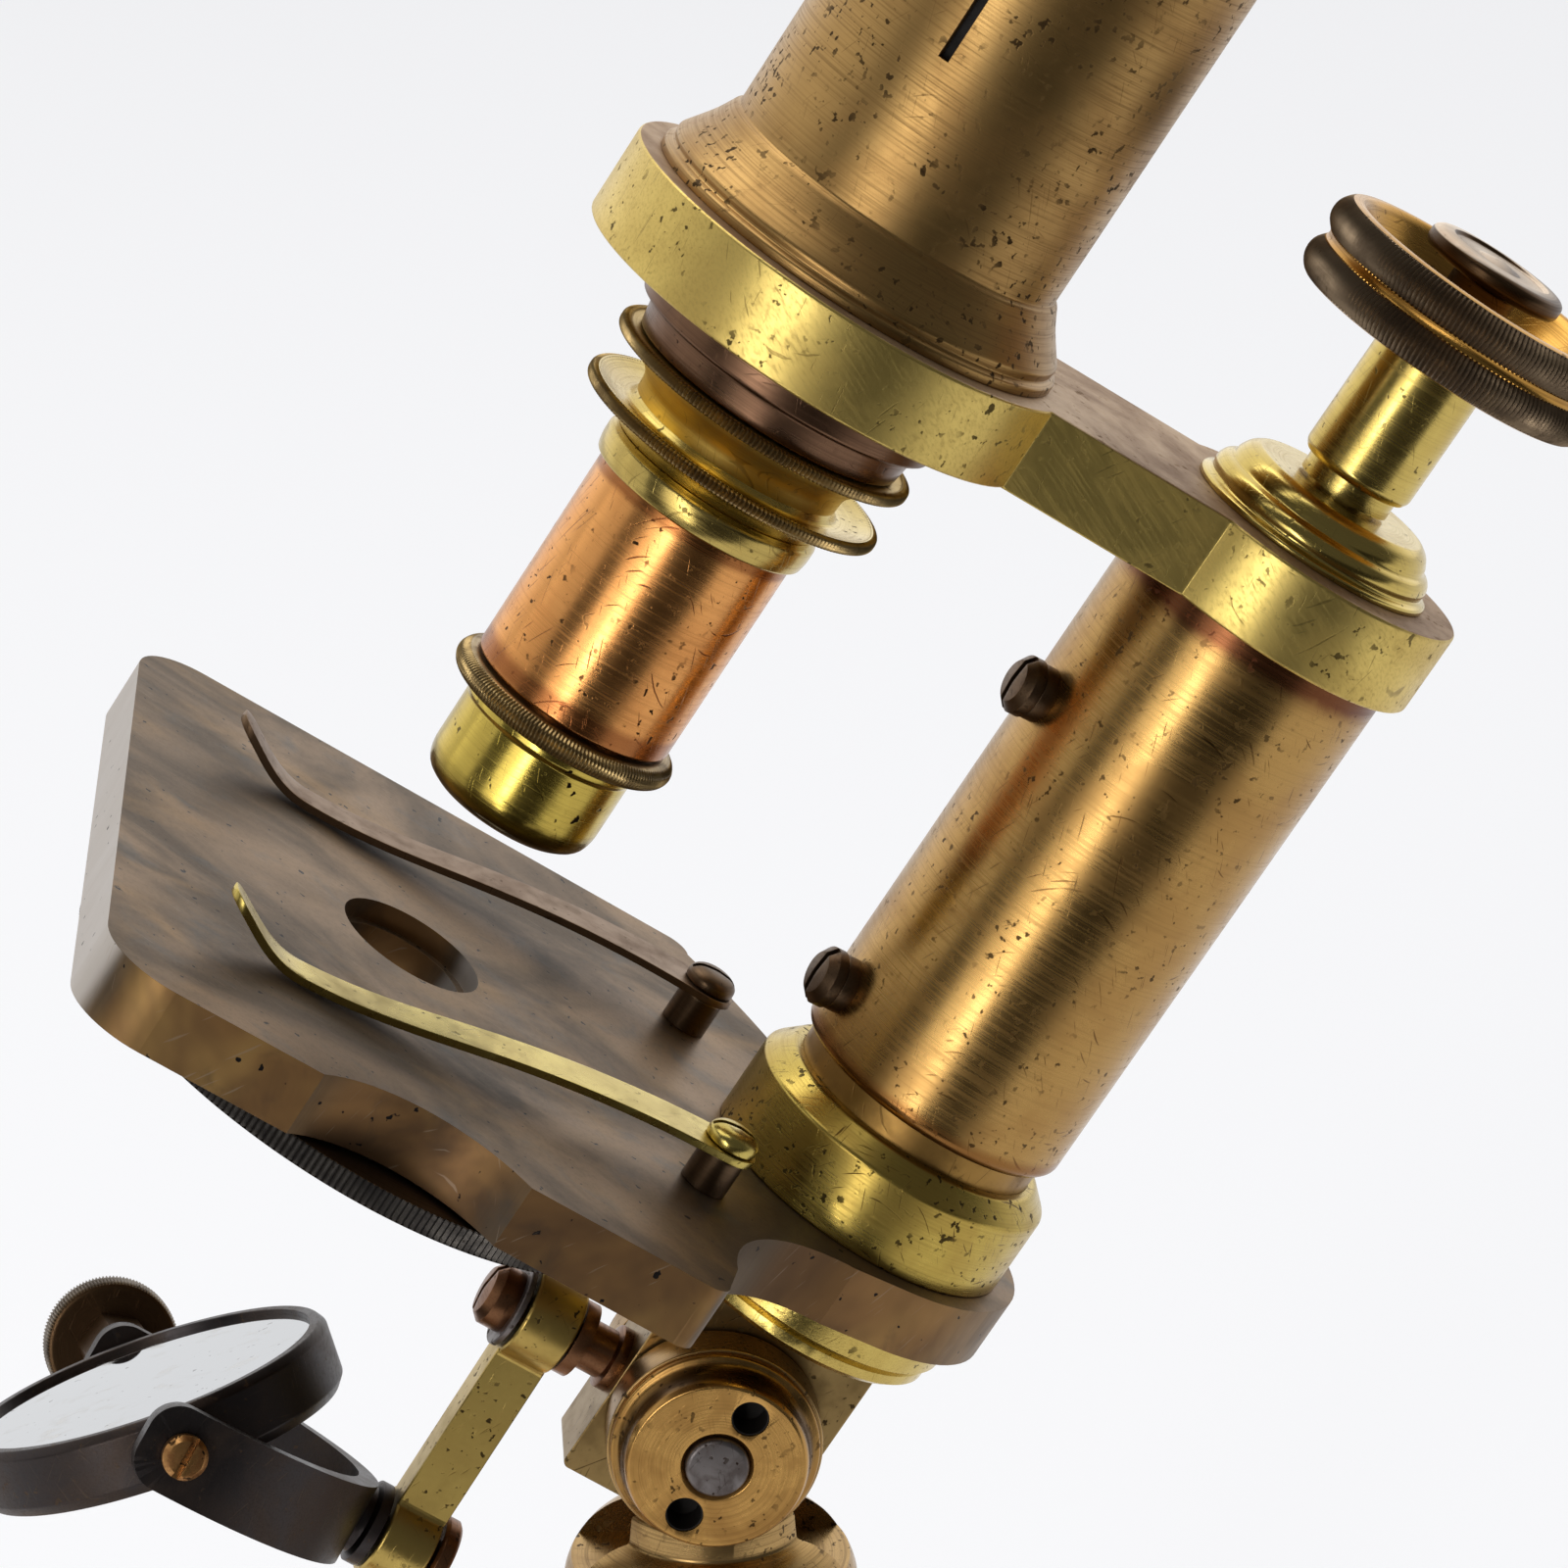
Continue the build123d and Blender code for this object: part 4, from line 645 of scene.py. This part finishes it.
# The far clip screw takes dark bronze and the near one bright brass: painted shade on the far clip.
for side, way, material in (("near", 1, clip_brass), ("far", -1, bronze)):
    spot = place(limb(CLIP_P, way * CLIP_P, 0), AXIAL, FRONT)
    turned("post_" + side, "limb", [
        (0, 0), (2.1, 0, 0.1), (2.1, POST_T, 0.3), (0, POST_T)
    ], spot, bronze, ["clip_post_" + side], steps=64)
    screw = turned("clipscrew_" + side, "limb", [
        (0, POST_T), (1.1, POST_T), (1.1, SEAT), (2.35, SEAT, 0.2), (2.35, SEAT + 0.9, 0.5),
        (1.6, SEAT + 1.5, 0.8), (0, SEAT + 1.7),
    ], spot, material, ["clip_screw_" + side], steps=64)
    cut(screw, [(block_mesh("slot", (-4, 4), (-0.3, 0.3), (SEAT + 0.9, SEAT + 3)), spot)], 0.06)
# The far leaf takes the darker copy of the clip brass: painted shade.
dressed("clip_leaf_near", clip_brass, 0.12)
dressed("clip_leaf_far", clip_brass_shaded, 0.12)

WHEEL_LOW = -8.3
WHEEL_TOP = -6.2
WHEEL_R = 27.8
WHEEL_TEETH = 300
WHEEL_AXIS = place(limb(45.0, 9.6, 0), AXIAL, FRONT)
wheel = turned("wheel", "wheel", [
    (1.45, WHEEL_LOW), (WHEEL_R, WHEEL_LOW, 0.25), (WHEEL_R, WHEEL_TOP, 0.25), (1.45, WHEEL_TOP),
], WHEEL_AXIS, bronze, ["diaphragm_wheel"], steps=WHEEL_TEETH * 4, rim=milled_black,
    teeth=((WHEEL_LOW + 0.05, WHEEL_TOP - 0.05, WHEEL_R - 0.5, WHEEL_TEETH, 0.24, 0.0),))
reach = math.hypot(9.6, 0.5)
first_hole = -math.asin(9.6 / reach)
tools = []
for number, radius in enumerate((5.0, 3.6, 2.6, 1.8, 1.0)):
    angle = first_hole + number * math.radians(72)
    spot = WHEEL_AXIS @ Matrix.Translation((reach * math.cos(angle) * MM, reach * math.sin(angle) * MM, 0))
    tools.append((turned_mesh("drill", [(0, -9), (radius, -9), (radius, -5), (0, -5)], 48), spot))
cut(wheel, tools, 0.06)
dressed("diaphragm_screw", bronze, 0.1)

# ---------------------------------------------------------------- mirror

dressed("mirror_stud", screw_red, 0.1)
dressed("stud_washer", steel, 0.05)
dressed("stud_screw", screw_red, 0.1)
dressed("mirror_crank", crank_brass, 0.35)
dressed("mirror_fork", blackened, 0.3)
dressed("fork_nut", screw_red, 0.1)
dressed("mirror_cell", blackened, 0.15)
dressed("mirror_plane", mirror_silver, 0.25)
dressed("mirror_concave", mirror_silver, 0.1)
dressed("fork_screw", fork_copper, 0.1)
CRANK_FOOT = limb(0, 0, -24.4) - CRANK_UP * 24.2
MIRROR_CENTRE = CRANK_FOOT + FRONT * 42.4
KNOB_AXIS = place(MIRROR_CENTRE, PIVOT, MIRROR_UP)
turned("thumb_knob", "mirror", [
    (0, 13.8), (1.2, 13.8), (1.2, 20.7), (2.6, 20.7, 0.2), (2.6, 30.6), (5.8, 30.6, 0.3), (6.2, 31.0, 0.3),
    (6.2, 34.1, 0.4), (5.4, 34.6, 0.3), (0, 34.6),
], KNOB_AXIS, button_bronze, ["mirror_knob"], steps=480, rim=milled_dark,
    teeth=((30.75, 34.4, 5.7, 120, 0.22, 0.0),))
turned("thumb_hex", "mirror", [
    (0, 22.2), (3.4, 22.2, 0.3), (3.4, 30.6), (0, 30.6),
], KNOB_AXIS, button_bronze, steps=6)

# ---------------------------------------------------------------- column and arm

turned("column", "arm", [
    (11.65, 11.5), (12.2, 11.5, 0.2), (12.75, 12.1, 0.5), (12.75, 62.7), (11.65, 62.7),
], COLUMN, column_lacquer, ["column_sleeve"], steps=200)
dressed("screw_bush_upper", bronze, 0.08)
dressed("screw_bush_lower", bronze, 0.08)
dressed("column_screw_upper", bronze, 0.08)
dressed("column_screw_lower", bronze, 0.08)
dressed("arm", arm_satin, 0.3)
turned("cap", "arm", [
    (3.36, 70.3), (11.2, 70.3, 0.1), (11.2, 70.8, 0.2), (10.4, 71.1, 0.3), (10.6, 71.9, 0.6),
    (10.2, 72.7, 0.4), (9.5, 73.0, 0.2), (9.4, 73.5, 0.2), (8.9, 74.4, 0.6), (8.1, 74.9, 0.2), (3.36, 74.9),
], COLUMN, bright_brass, ["arm_cap"], steps=200)

# ---------------------------------------------------------------- fine focus knob

KNOB_LOW = 88.9
RIM_R = 14.1
RIM_T = 3.5
GROOVE = 0.5
turned("neck", "fine_knob", [
    (0, 42.0), (2.4, 42.0, 0.2), (3.3, 43.0, 0.2), (3.3, 75.2), (4.2, 75.2), (4.2, 76.8), (4.7, 76.8, 0.2),
    (5.1, 77.4, 0.3), (5.1, 88.9), (0, 88.9),
], COLUMN, bright_brass, ["knob_neck"])
first = KNOB_LOW + RIM_T
second = first + GROOVE
knob_top = second + RIM_T
TEETH = 190
turned("knob_rim", "fine_knob", [
    (0, KNOB_LOW), (9.0, KNOB_LOW), (RIM_R - 0.8, KNOB_LOW + 0.1, 0.6), (RIM_R, KNOB_LOW + 1.2, 0.9),
    (RIM_R, first - 1.0, 0.9), (RIM_R - 0.9, first, 0.3), (RIM_R - 0.9, second, 0.3),
    (RIM_R, second + 1.0, 0.9), (RIM_R, knob_top - 1.2, 0.9), (RIM_R - 0.9, knob_top - 0.1, 0.6),
    (12.2, knob_top, 0.3), (11.6, knob_top - 0.5, 0.3), (9.5, KNOB_LOW + 3.0, 2.0), (6.0, KNOB_LOW + 2.0),
    (0, KNOB_LOW + 2.0),
], COLUMN, bowl_brass, ["fine_knob"], steps=TEETH * 4, rim=milled_knob, teeth=(
    (KNOB_LOW + 0.25, first - 0.15, 13.0, TEETH, 0.28, 0.0),
    (second + 0.15, knob_top - 0.2, 13.0, TEETH, 0.28, 0.0)))
turned("knob_disc", "fine_knob", [
    (0, KNOB_LOW + 2.0), (3.4, KNOB_LOW + 2.0), (3.0, KNOB_LOW + 3.2, 0.4), (3.0, 96.2, 0.2),
    (6.1, 96.6, 0.2), (6.4, 97.0, 0.3), (6.4, 98.0, 0.4), (5.9, 98.4, 0.3), (4.6, 98.5, 0.1),
    (4.4, 98.2, 0.1), (2.0, 98.2, 0.1), (0, 98.6),
], COLUMN, button_bronze, ["knob_button"])

# ---------------------------------------------------------------- body sleeve and tube

FLARE_R = 18.95
SLEEVE_R = 15.3
SLEEVE_TOP = 128.0
SLIT_LOW = 90.6
SLIT_HALF = 0.45
SLIT_ANGLE = math.radians(24.0)
sleeve = turned("sleeve", "arm", [
    (14.35, 62.7), (15.3, 62.7), (15.3, 70.3), (FLARE_R, 70.3, 0.1), (FLARE_R, 71.1, 0.2),
    (18.3, 71.4, 0.2), (18.5, 72.1, 0.3), (17.6, 73.3, 0.6), (16.6, 74.7, 0.6), (15.9, 76.0, 0.3),
    (15.7, 76.4, 0.2), (SLEEVE_R, 76.7, 0.2), (SLEEVE_R, SLEEVE_TOP - 2.0, 0.2),
    (16.0, SLEEVE_TOP - 1.6, 0.3), (16.0, SLEEVE_TOP - 0.4, 0.3), (15.6, SLEEVE_TOP, 0.2),
    (14.35, SLEEVE_TOP),
], TUBE, sleeve_lacquer, ["body_sleeve"], steps=240)
slit_spot = TUBE @ Matrix.Rotation(math.pi / 2 - SLIT_ANGLE, 4, "Z")
slit = block_mesh("slit", (10, 20), (-SLIT_HALF, SLIT_HALF), (SLIT_LOW, SLEEVE_TOP + 2))
cut(sleeve, [(slit, slit_spot)], 0.05)
# Painted shade: a thin near-black sheet between sleeve and tube keeps the slit dark.
turned("sleeve_shade_sheet", "arm", [
    (14.31, 64.0), (14.34, 64.0), (14.34, 127.0), (14.31, 127.0),
], TUBE, slit_shade_sheet, steps=240)
turned("tube", "tube", [
    (13.2, 62.0), (14.3, 62.0), (14.3, 158.0, 0.1), (13.2, 158.0),
], TUBE, bright_brass, ["body_tube"], steps=200)
turned("tube_collar", "tube", [
    (12.45, 158.0), (15.0, 158.0, 0.3), (16.2, 158.7, 0.3), (16.2, 161.4, 0.3), (15.4, 162.2, 0.3),
    (14.4, 162.8, 0.3), (14.0, 164.0, 0.3), (12.45, 164.0),
], TUBE, sleeve_lacquer, ["tube_cap"], steps=640, teeth=((158.9, 161.2, 15.6, 160, 0.22, 0.0),))

# ---------------------------------------------------------------- objective

turned("nose", "tube", [
    (7.4, 56.8), (12.4, 56.8, 0.2), (12.8, 59.4, 0.3), (13.96, 59.6, 0.3), (13.96, 62.0), (13.2, 62.0),
    (13.2, 66.0), (7.4, 66.0),
], TUBE, nose_brown, ["nosepiece"], steps=200)
RING_TEETH = 210
turned("flange", "tube", [
    (7.4, 51.9), (9.7, 51.9), (9.8, 53.4, 0.6), (11.0, 54.7, 1.0), (13.3, 55.6, 0.2), (14.05, 55.75, 0.45),
    (14.05, 56.65, 0.45), (13.5, 56.8, 0.1), (13.3, 56.65, 0.1), (7.4, 56.65),
], TUBE, flare_brass, ["objective_flange"], steps=RING_TEETH * 4, rim=bead_brass,
    teeth=((55.55, 56.85, 13.45, RING_TEETH, 0.34, 0.0),))
turned("dish", "tube", [
    (6.2, 48.9), (9.6, 48.9), (10.9, 50.2, 0.6), (13.3, 50.7, 0.2), (14.05, 50.85, 0.45),
    (14.05, 51.75, 0.45), (13.4, 51.9, 0.1), (11.8, 51.35, 0.8), (10.1, 51.1, 0.4), (9.7, 51.9),
    (6.2, 51.9),
], TUBE, bright_brass, ["objective_dish"], steps=RING_TEETH * 4, rim=bead_brass,
    teeth=((50.65, 51.95, 13.45, RING_TEETH, 0.34, 0.0),))
turned("collar", "tube", [
    (6.2, 46.0), (9.9, 46.0, 0.2), (10.1, 47.0, 0.4), (10.1, 48.3, 0.3), (9.5, 48.9, 0.3), (6.2, 48.9),
], TUBE, collar_brass, ["objective_collar"], steps=200)
turned("barrel", "tube", [
    (6.2, 23.6), (7.45, 23.6), (7.45, 26.2), (9.25, 26.2, 0.25), (9.25, 46.0, 0.2), (6.2, 46.0),
], TUBE, copper, ["objective_barrel"], steps=240)
BEAD_TEETH = 180
turned("bead", "correction", [
    (7.5, 23.6), (9.6, 23.6, 0.5), (10.55, 24.2, 0.7), (10.55, 25.3, 0.7), (9.6, 25.9, 0.5), (7.5, 25.9),
], TUBE, bead_brass, ["correction_ring"], steps=BEAD_TEETH * 4,
    teeth=((23.8, 25.7, 9.7, BEAD_TEETH, 0.22, 1.6),))
turned("snout", "tube", [
    (3.2, 14.6), (6.4, 14.6, 0.3), (7.6, 15.3, 0.8), (8.0, 16.6, 0.8), (8.0, 22.4, 0.2), (8.25, 22.7, 0.2),
    (8.25, 23.3), (6.2, 23.3), (6.2, 23.6), (5.0, 23.6), (5.0, 16.0), (3.2, 16.0),
], TUBE, snout_brass, ["objective_snout"], steps=200)
dressed("front_lens", lens_glass, 0.1)

# ---------------------------------------------------------------- draw tube and eyepiece

turned("draw", "draw", [
    (11.5, 108.0), (12.4, 108.0), (12.4, 185.6, 0.2), (13.1, 186.0, 0.3), (13.1, 187.6, 0.3),
    (12.7, 188.0, 0.2), (11.5, 188.0),
], TUBE, bright_brass, ["draw_tube"], steps=160)
dressed("eyepiece_tube", hidden_brass, 0.1)
eye_outline = [
    (10.6, 188.0), (13.6, 188.0, 0.3), (15.2, 188.9, 0.3), (15.2, 191.4, 0.3), (14.4, 192.0, 0.3),
    (14.0, 195.2, 0.6), (13.2, 196.0, 0.4), (7.4, 196.0, 1.0), (4.5, 194.2, 0.3), (4.5, 193.4),
    (10.6, 193.4),
]
eye_mesh = turned_mesh("eye_cup", eye_outline, 600, ((189.1, 191.2, 14.6, 150, 0.22, 0.0),))
eye_mesh.transform(TUBE)
shade(eye_mesh)
weighted(link("eye_cup", eye_mesh, Matrix.Identity(4), eye_lacquer, "draw", ["eyepiece_cap"]))
dressed("eye_lens", lens_glass, 0.2)
dressed("field_lens", lens_glass, 0.2)

# ---------------------------------------------------------------- studio

EYE = LIMB + Vector((-36.14, -456.545, 210.116))
SENSOR = 36.0
FOCAL = 132.33
right = Vector((0.997914, -0.064549, 0.00027)).normalized()
up = Vector((0.022435, 0.350755, 0.936198)).normalized()
back = right.cross(up).normalized()
up = back.cross(right)
lens = bpy.data.cameras.new("camera")
lens.sensor_width = SENSOR
lens.lens = FOCAL
lens.clip_start = 0.01
lens.clip_end = 30
camera = bpy.data.objects.new("camera", lens)
camera.matrix_world = Matrix((
    (right.x, up.x, back.x, EYE.x * MM), (right.y, up.y, back.y, EYE.y * MM),
    (right.z, up.z, back.z, EYE.z * MM), (0, 0, 0, 1)))
bpy.context.scene.collection.objects.link(camera)
bpy.context.scene.camera = camera

TARGET = Vector((0.0, 0.0, 0.17))


def softbox(name, direction, distance, width, height, power):
    light = bpy.data.lights.new(name, "AREA")
    light.shape = "RECTANGLE"
    light.size = width
    light.size_y = height
    light.energy = power
    lamp = bpy.data.objects.new(name, light)
    away = Vector(direction).normalized()
    lamp.location = TARGET + away * distance
    z = away
    x = UPRIGHT.cross(z).normalized() if abs(z.z) < 0.98 else Vector((1, 0, 0))
    y = z.cross(x)
    spot = lamp.location
    lamp.matrix_world = Matrix((
        (x.x, y.x, z.x, spot.x), (x.y, y.y, z.y, spot.y), (x.z, y.z, z.z, spot.z), (0, 0, 0, 1)))
    lamp.visible_camera = False
    bpy.context.scene.collection.objects.link(lamp)
    return lamp


softbox("key_strip", (-0.42, -0.88, -0.03), 0.55, 0.07, 0.5, 0.75)
softbox("key_side", (-0.56, -0.80, 0.02), 0.6, 0.22, 0.5, 0.65)
softbox("left_box", (-0.95, -0.05, 0.35), 0.9, 0.6, 0.8, 1.1)
softbox("top_box", (-0.1, 0.15, 1.0), 1.3, 1.2, 1.2, 9.0)


def sheet(name, corners, material):
    mesh = bpy.data.meshes.new(name)
    mesh.from_pydata(corners, [], [(0, 1, 2, 3)])
    mesh.materials.append(material)
    flat = bpy.data.objects.new(name, mesh)
    bpy.context.scene.collection.objects.link(flat)
    return flat


def plain(name, colour, glow):
    """Matte paint that also glows a little, which keeps the floor an even pale tone."""
    material = bpy.data.materials.new(name)
    material.use_nodes = True
    shader = material.node_tree.nodes["Principled BSDF"]
    shader.inputs["Base Color"].default_value = colour
    shader.inputs["Roughness"].default_value = 1.0
    shader.inputs["Specular IOR Level"].default_value = 0.0
    shader.inputs["Emission Color"].default_value = (0.965, 0.97, 1.0, 1)
    shader.inputs["Emission Strength"].default_value = glow
    return material


SPAN = 6.0
FLAG_NEAR = -0.235                 # front edge of the pale table as the metal sees it
sheet("floor", [(-SPAN, -SPAN, 0), (SPAN, -SPAN, 0), (SPAN, SPAN, 0), (-SPAN, SPAN, 0)],
      plain("pale_floor", (0.40, 0.40, 0.40, 1), 0.60))
flag = sheet("black_flag", [(-SPAN, -SPAN, 0.001), (SPAN, -SPAN, 0.001), (SPAN, FLAG_NEAR, 0.001),
                            (-SPAN, FLAG_NEAR, 0.001)], plain("flag_cloth", (0.03, 0.028, 0.025, 1), 0.0))
flag.visible_camera = False
flag.visible_diffuse = False
flag.visible_shadow = False

world = bpy.data.worlds.new("studio")
bpy.context.scene.world = world
world.use_nodes = True
tree = world.node_tree
sky = tree.nodes["Background"]
where = tree.nodes.new("ShaderNodeTexCoord")
parts = tree.nodes.new("ShaderNodeSeparateXYZ")
tree.links.new(where.outputs["Generated"], parts.inputs[0])
fade = tree.nodes.new("ShaderNodeMapRange")
fade.interpolation_type = "SMOOTHSTEP"
fade.inputs["From Min"].default_value = -0.1
fade.inputs["From Max"].default_value = 0.7
fade.inputs["To Min"].default_value = 0.10
fade.inputs["To Max"].default_value = 1.3
tree.links.new(parts.outputs["Y"], fade.inputs["Value"])
seen = tree.nodes.new("ShaderNodeLightPath")
pick = tree.nodes.new("ShaderNodeMix")
tree.links.new(seen.outputs["Is Camera Ray"], pick.inputs[0])
tree.links.new(fade.outputs["Result"], pick.inputs[2])
pick.inputs[3].default_value = 0.88
sky.inputs["Color"].default_value = (1, 1, 1, 1)
tree.links.new(pick.outputs[0], sky.inputs["Strength"])
bpy.context.scene.view_settings.view_transform = "Standard"
